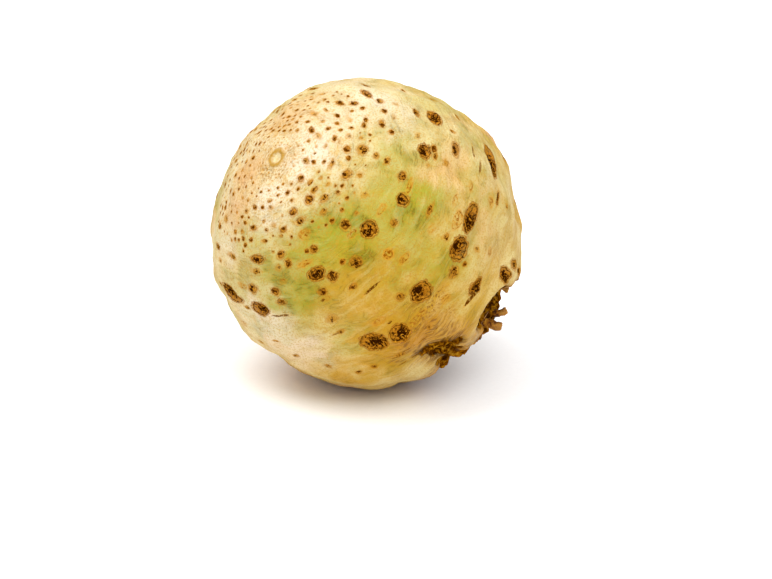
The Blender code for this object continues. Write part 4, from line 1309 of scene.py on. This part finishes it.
def skin_patterns(tree, where):
    grain = node(tree, "ShaderNodeAttribute", {}, "Vector", attribute_name="grain")
    mottle = node(tree, "ShaderNodeTexNoise", {"Vector": where, "Scale": per_metre(9.0), "Detail": 4.0})
    dapple = node(tree, "ShaderNodeTexNoise", {"Vector": where, "Scale": per_metre(2.6), "Detail": 3.0})
    crumbs = node(tree, "ShaderNodeTexNoise", {
        "Vector": where, "Scale": per_metre(1.0), "Detail": 3.0, "Roughness": 0.6, "Distortion": 0.5,
    })
    grit = node(tree, "ShaderNodeTexNoise", {"Vector": where, "Scale": per_metre(0.7), "Detail": 1.0})
    streaks = node(tree, "ShaderNodeTexNoise", {"Vector": grain, "Scale": STREAKS_PER_MM, "Detail": 4.0})
    threads = node(tree, "ShaderNodeTexNoise", {"Vector": grain, "Scale": THREADS_PER_MM, "Detail": 2.0})

    # A hairline runs where the streaks cross their middle value, in some stretches only
    hair = node(tree, "ShaderNodeMath", {0: streaks, 1: -0.5}, operation="ADD")
    hair = node(tree, "ShaderNodeMath", {0: hair}, operation="ABSOLUTE")
    hair = node(tree, "ShaderNodeMapRange", {0: hair, 1: 0.016, 2: 0.002})
    stretch = node(tree, "ShaderNodeMapRange", {0: mottle, 1: 0.48, 2: 0.6}, **SOFT)
    hair = node(tree, "ShaderNodeMath", {0: hair, 1: stretch}, operation="MULTIPLY")
    return SkinPatterns(mottle, dapple, crumbs, grit, streaks, threads, hair)


def ground_colour(tree, tints, patterns):
    """The cream ground, mottled and streaked, and the drifts of colour over it."""
    tan = node(tree, "ShaderNodeMapRange", {0: patterns.mottle, 1: 0.38, 2: 0.62, 4: 0.9}, **SOFT)
    freckled = node(tree, "ShaderNodeMapRange", {0: patterns.dapple, 1: 0.5, 2: 0.68, 4: 0.5})
    dark = node(tree, "ShaderNodeMapRange", {0: patterns.streaks, 1: 0.48, 2: 0.34, 4: 0.5})
    creamy = node(tree, "ShaderNodeMapRange", {0: patterns.mottle, 1: 0.3, 2: 0.7, 3: 1.0, 4: 0.5})
    creamy = node(tree, "ShaderNodeMath", {0: tints.cream, 1: creamy}, operation="MULTIPLY", use_clamp=True)
    flush = node(tree, "ShaderNodeMapRange", {0: patterns.dapple, 1: 0.5, 2: 0.64, 4: 0.5})
    flush = node(tree, "ShaderNodeMath", {0: tints.cream, 1: flush}, operation="MULTIPLY", use_clamp=True)
    golden = node(tree, "ShaderNodeMapRange", {0: patterns.dapple, 1: 0.3, 2: 0.7, 3: 0.6, 4: 1.0})
    golden = node(tree, "ShaderNodeMath", {0: tints.gold, 1: golden}, operation="MULTIPLY", use_clamp=True)
    green = node(tree, "ShaderNodeMapRange", {0: patterns.streaks, 1: 0.35, 2: 0.6, 3: 0.75, 4: 1.05})
    green = node(tree, "ShaderNodeMath", {0: tints.green, 1: green}, operation="MULTIPLY", use_clamp=True)
    deep = node(tree, "ShaderNodeMapRange", {0: patterns.mottle, 1: 0.5, 2: 0.64, 4: 0.8})
    deep = node(tree, "ShaderNodeMath", {0: tints.green, 1: deep}, operation="MULTIPLY", use_clamp=True)
    amber = node(tree, "ShaderNodeMapRange", {0: tints.gold, 1: 0.6, 2: 1.0, 4: 0.7})
    light = node(tree, "ShaderNodeMapRange", {0: patterns.streaks, 1: 0.5, 2: 0.8, 4: 0.28})
    gritty = node(tree, "ShaderNodeMapRange", {0: patterns.grit, 1: 0.53, 2: 0.63, 4: 0.5})
    haired = node(tree, "ShaderNodeMapRange", {0: tints.green, 1: 0.0, 2: 0.8, 3: 0.2, 4: 0.7})
    haired = node(tree, "ShaderNodeMath", {0: patterns.hair, 1: haired}, operation="MULTIPLY")
    return painted(tree, "#ccb97c", (
        (tan, "#bd9d52"),
        (freckled, "#c4a35c"),
        (dark, "#aa8638"),
        (creamy, "#d1c29d"),
        (flush, "#cc9c40"),
        (golden, "#bd8e00"),
        (tints.peach, "#cda06e"),
        (green, "#8f8d10"),
        (deep, "#6e7208"),
        # Pale patches, partly painted light
        (tints.pale, "#dccfb8"),
        (amber, "#b27c00"),
        (light, "#d9c98f"),
        (gritty, "#b08216"),
        (haired, "#7c6000"),
    ))


def worn_colour(tree, skin, tints, patterns):
    """The skin with an orange stain and its dark threads toward the root end, and with brown freckles
    where it is scuffed, which are darker flecks where it is roughest."""
    stained = node(tree, "ShaderNodeMath", {0: tints.stain, 1: 0.85}, operation="MULTIPLY")
    threaded = node(tree, "ShaderNodeMapRange", {0: patterns.threads, 1: 0.48, 2: 0.64})
    threaded = node(tree, "ShaderNodeMath", {0: tints.stain, 1: threaded}, operation="MULTIPLY")
    scuff = node(tree, "ShaderNodeMapRange", {0: patterns.crumbs, 1: 0.5, 2: 0.6, 4: 0.75})
    scuff = node(tree, "ShaderNodeMath", {0: tints.scuffed, 1: scuff}, operation="MULTIPLY", use_clamp=True)
    roughest = node(tree, "ShaderNodeMapRange", {0: tints.scuffed, 1: 0.5, 2: 0.9})
    fleck = node(tree, "ShaderNodeMapRange", {0: patterns.crumbs, 1: 0.54, 2: 0.62})
    fleck = node(tree, "ShaderNodeMath", {0: roughest, 1: fleck}, operation="MULTIPLY", use_clamp=True)
    return painted(tree, skin, (
        (stained, "#aa6e00"),
        (threaded, "#5c3400"),
        (scuff, "#a66e0e"),
        (fleck, "#623a00"),
    ))


def marked_colour(tree, skin, marks, crumbs):
    """The skin with its marks: crumbly pith, a dark core and rim, in lighter browns where they are small
    or faint, and the blush and ring round them."""
    blush = node(tree, "ShaderNodeMapRange", {0: crumbs, 1: 0.35, 2: 0.6, 3: 0.25, 4: 1.0})
    halo = node(tree, "ShaderNodeMath", {0: marks.halo, 1: blush}, operation="MULTIPLY")
    ring = node(tree, "ShaderNodeMath", {0: marks.ring, 1: 0.7}, operation="MULTIPLY")
    body = node(tree, "ShaderNodeMath", {0: marks.body, 1: 0.9}, operation="MULTIPLY")
    tender = node(tree, "ShaderNodeMath", {0: marks.small, 1: 0.6}, operation="MULTIPLY")
    pith = node(tree, "ShaderNodeValToRGB", {0: crumbs}, "Color")
    ramp(pith.node, ((0.42, "#5e2e00"), (0.52, "#905006"), (0.62, "#bc7e20")))
    pith = painted(tree, pith, ((tender, "#ac6a14"), (marks.weak, "#c48a26")))
    core = painted(tree, "#321400", ((marks.small, "#703a00"),))
    rim = painted(tree, "#542a00", ((marks.small, "#8a5000"),))
    return painted(tree, skin, (
        (halo, "#c68624"),
        (ring, "#9a5604"),
        (body, pith),
        (marks.dark, core),
        (marks.slit, "#5e3200"),
        (marks.edge, rim),
        (marks.healed, "#8a5000"),
    ))


def set_gloss(tree, shader, marks, bark):
    """Waxy skin, and dull cork and bark."""
    dull = marks.body
    for part in (bark, marks.slit, marks.halo):
        dull = node(tree, "ShaderNodeMath", {0: dull, 1: part}, operation="MAXIMUM")
    gloss = node(tree, "ShaderNodeMapRange", {0: dull, 3: 0.52, 4: 0.88})
    tree.links.new(gloss, shader.inputs["Roughness"])
    wet = node(tree, "ShaderNodeMapRange", {0: dull, 3: 0.14, 4: 0.0})
    tree.links.new(wet, shader.inputs["Specular IOR Level"])


def set_relief(tree, shader, patterns, marks, rough, bark):
    """Relief in mm: rough bark, crumbly and sunk cork, fine grain and streaks, dark edges and raised
    rings."""
    height = node(tree, "ShaderNodeMath", {0: rough, 1: bark}, operation="MULTIPLY")
    crumbly = node(tree, "ShaderNodeMath", {0: patterns.crumbs, 1: marks.body}, operation="MULTIPLY")
    for part, tall in (
        (crumbly, 1.2),
        (patterns.grit, 0.09),
        (patterns.crumbs, 0.2),
        (patterns.dapple, 0.3),
        (patterns.streaks, 0.6),
        (patterns.threads, 0.3),
        (patterns.hair, -0.1),
        (marks.body, -0.35),
        (marks.dark, -0.2),
        (marks.edge, -0.2),
        (marks.ring, 0.2),
        (marks.slit, -0.4),
        (marks.healed, -0.15),
    ):
        height = node(tree, "ShaderNodeMath", {0: part, 1: tall, 2: height}, operation="MULTIPLY_ADD")
    bump = node(tree, "ShaderNodeBump", {"Height": height, "Distance": MM, "Strength": 1.0}, "Normal")
    tree.links.new(bump, shader.inputs["Normal"])


def skin_material():
    """Celeriac skin: thin, waxy and a little glossy. It gives the eye a cream to olive ground with
    feathered green drifts along the growth rings, brown corky scars with dark outlines, and toward the
    root end orange stains and rough bark."""
    material, tree, shader = new_material("celeriac_skin")
    where = node(tree, "ShaderNodeTexCoord", {}, "Object")
    tints = skin_tints(tree)
    patterns = skin_patterns(tree, where)
    marks = mark_shares(tree, where, patterns.crumbs)
    skin = ground_colour(tree, tints, patterns)
    skin = worn_colour(tree, skin, tints, patterns)
    skin = marked_colour(tree, skin, marks, patterns.crumbs)
    bud_ring, bud_middle = bud_shares(tree, patterns.dapple)
    skin = painted(tree, skin, ((bud_middle, "#d3c08a"), (bud_ring, "#a87a04")))

    # Bark of the root end, with a torn edge, and painted shade darkening its creases and hollows
    husk, rough = bark_layers(tree, where)
    torn = node(tree, "ShaderNodeMath", {0: rough, 1: 1.6, 2: tints.bark}, operation="MULTIPLY_ADD")
    bark = node(tree, "ShaderNodeMapRange", {0: torn, 1: 1.15, 2: 1.4}, **SOFT)
    # Painted shade in the creases and hollows, broken up by the bark's noise
    soil_and_shade = node(tree, "ShaderNodeMapRange", {0: rough, 1: 0.44, 2: 0.58, 3: 1.0, 4: 0.25})
    soil_and_shade = node(tree, "ShaderNodeMath", {0: tints.crease, 1: soil_and_shade}, operation="MULTIPLY", use_clamp=True)
    skin = painted(tree, skin, ((bark, husk), (soil_and_shade, "#301400")))
    tree.links.new(skin, shader.inputs["Base Color"])
    set_gloss(tree, shader, marks, bark)
    set_relief(tree, shader, patterns, marks, rough, bark)
    return material


def bark_material():
    """Root bark: dry and corky. It gives the eye rough browns, darkened with painted shade where the stubs
    leave the bulb, and paler toward their worn, cut ends."""
    material, tree, shader = new_material("root_bark")
    where = node(tree, "ShaderNodeTexCoord", {}, "Object")
    husk, rough = bark_layers(tree, where)
    stand = node(tree, "ShaderNodeAttribute", {}, "Vector", attribute_name="stand")
    end = node(tree, "ShaderNodeSeparateXYZ", {0: stand})
    worn = node(tree, "ShaderNodeMath", {0: rough, 1: 1.6, 2: end}, operation="MULTIPLY_ADD")
    worn = node(tree, "ShaderNodeMapRange", {0: worn, 1: 1.3, 2: 1.85, 4: 0.6})
    # Painted shade: darker near the base, where a stub leaves the bulb
    shaded_base = node(tree, "ShaderNodeMath", {0: rough, 1: 1.5, 2: end}, operation="MULTIPLY_ADD")
    shaded_base = node(tree, "ShaderNodeMapRange", {0: shaded_base, 1: 1.05, 2: 0.55, 4: 0.95})
    husk = painted(tree, husk, ((worn, "#c08a44"), (shaded_base, "#301400")))
    tree.links.new(husk, shader.inputs["Base Color"])
    shader.inputs["Roughness"].default_value = 0.85
    shader.inputs["Specular IOR Level"].default_value = 0.2
    bump = node(tree, "ShaderNodeBump", {"Height": rough, "Distance": 1.2 * MM, "Strength": 1.0}, "Normal")
    tree.links.new(bump, shader.inputs["Normal"])
    return material


def rootlet_material():
    """Dry rootlets: papery brown hairs, darker where soil clings."""
    material, tree, shader = new_material("dry_rootlet")
    where = node(tree, "ShaderNodeTexCoord", {}, "Object")
    soil_and_shade = node(tree, "ShaderNodeTexNoise", {"Vector": where, "Scale": per_metre(3.0), "Detail": 3.0})
    husk = node(tree, "ShaderNodeValToRGB", {0: soil_and_shade}, "Color")
    ramp(husk.node, ((0.35, "#4a2a10"), (0.5, "#7d5222"), (0.65, "#b08044")))
    tree.links.new(husk, shader.inputs["Base Color"])
    shader.inputs["Roughness"].default_value = 0.8
    return material


def floor_material():
    """Matt white paper."""
    material, tree, shader = new_material("white_paper")
    where = node(tree, "ShaderNodeTexCoord", {}, "Object")
    tooth = node(tree, "ShaderNodeTexNoise", {"Vector": where, "Scale": per_metre(2.0), "Detail": 2.0})
    paper = node(tree, "ShaderNodeMix", {0: tooth, 6: "#f8f8f8", 7: "#ffffff"}, 2, data_type="RGBA")
    tree.links.new(paper, shader.inputs["Base Color"])
    shader.inputs["Roughness"].default_value = 0.95
    shader.inputs["Specular IOR Level"].default_value = 0.0
    return material


def make_floor():
    bm = bmesh.new()
    bmesh.ops.create_grid(bm, x_segments=1, y_segments=1, size=FLOOR_SIZE / 2.0)
    floor = mesh_of(bm, "floor", floor_material(), 0.0)


def make_lights():
    """A white room, brighter overhead, and two broad soft lamps: high on the left, and in front on the
    right."""
    world = bpy.data.worlds.new("studio")
    world.use_nodes = True
    tree = world.node_tree
    height = node(tree, "ShaderNodeTexCoord", {}, "Generated")
    height = node(tree, "ShaderNodeSeparateXYZ", {0: height}, 2)
    strength = node(tree, "ShaderNodeMapRange", {0: height, 2: ROOM_FULL_AT, 3: ROOM_LOW, 4: ROOM_HIGH})
    straight = node(tree, "ShaderNodeLightPath", {}, "Is Camera Ray")
    strength = node(tree, "ShaderNodeMix", {0: straight, 2: strength, 3: 1.0})
    room = tree.nodes["Background"]
    room.inputs["Color"].default_value = (1.0, 1.0, 1.0, 1.0)
    tree.links.new(strength, room.inputs["Strength"])
    scene = bpy.context.scene
    scene.world = world
    scene.view_settings.view_transform = "Standard"
    for name, place, size, power in SOFTBOXES:
        lamp = bpy.data.lights.new(name, "AREA")
        lamp.shape = "DISK"
        lamp.size = size
        lamp.energy = power
        holder = bpy.data.objects.new(name, lamp)
        holder.location = place
        aim = Vector(BULB_CENTRE) * MM - Vector(place)
        holder.rotation_euler = aim.to_track_quat("-Z", "Y").to_euler()
        scene.collection.objects.link(holder)


def make_camera():
    """The photograph's view: from the front and 20 degrees above, with its frame shifted as there."""
    data = bpy.data.cameras.new("camera")
    data.lens = LENS
    data.sensor_width = SENSOR_WIDTH
    data.shift_x = (FRAME_WIDTH / 2.0 - BULB_CENTRE_PIXEL[0]) / FRAME_WIDTH
    data.shift_y = (BULB_CENTRE_PIXEL[1] - FRAME_HEIGHT / 2.0) / FRAME_WIDTH
    data.clip_start = NEAREST_SHOWN
    camera = bpy.data.objects.new("camera", data)
    turn = Matrix((ACROSS, UP, TOWARD)).transposed().to_4x4()
    eye = Vector(BULB_CENTRE) * MM + Vector(TOWARD) * (VIEW_DISTANCE * MM)
    camera.matrix_world = Matrix.Translation(eye) @ turn
    bpy.context.scene.collection.objects.link(camera)
    bpy.context.scene.camera = camera


def main():
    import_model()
    make_camera()
    make_lights()
    make_floor()
    skin = link("celeriac_skin", make_skin(all_marks()))
    skin.data.materials.append(skin_material())
    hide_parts("celeriac_root")
    stubs = make_stubs(bark_material())
    rootlets = make_rootlets(rootlet_material())
    for piece in (skin, stubs, rootlets):
        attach(piece, "root")


main()
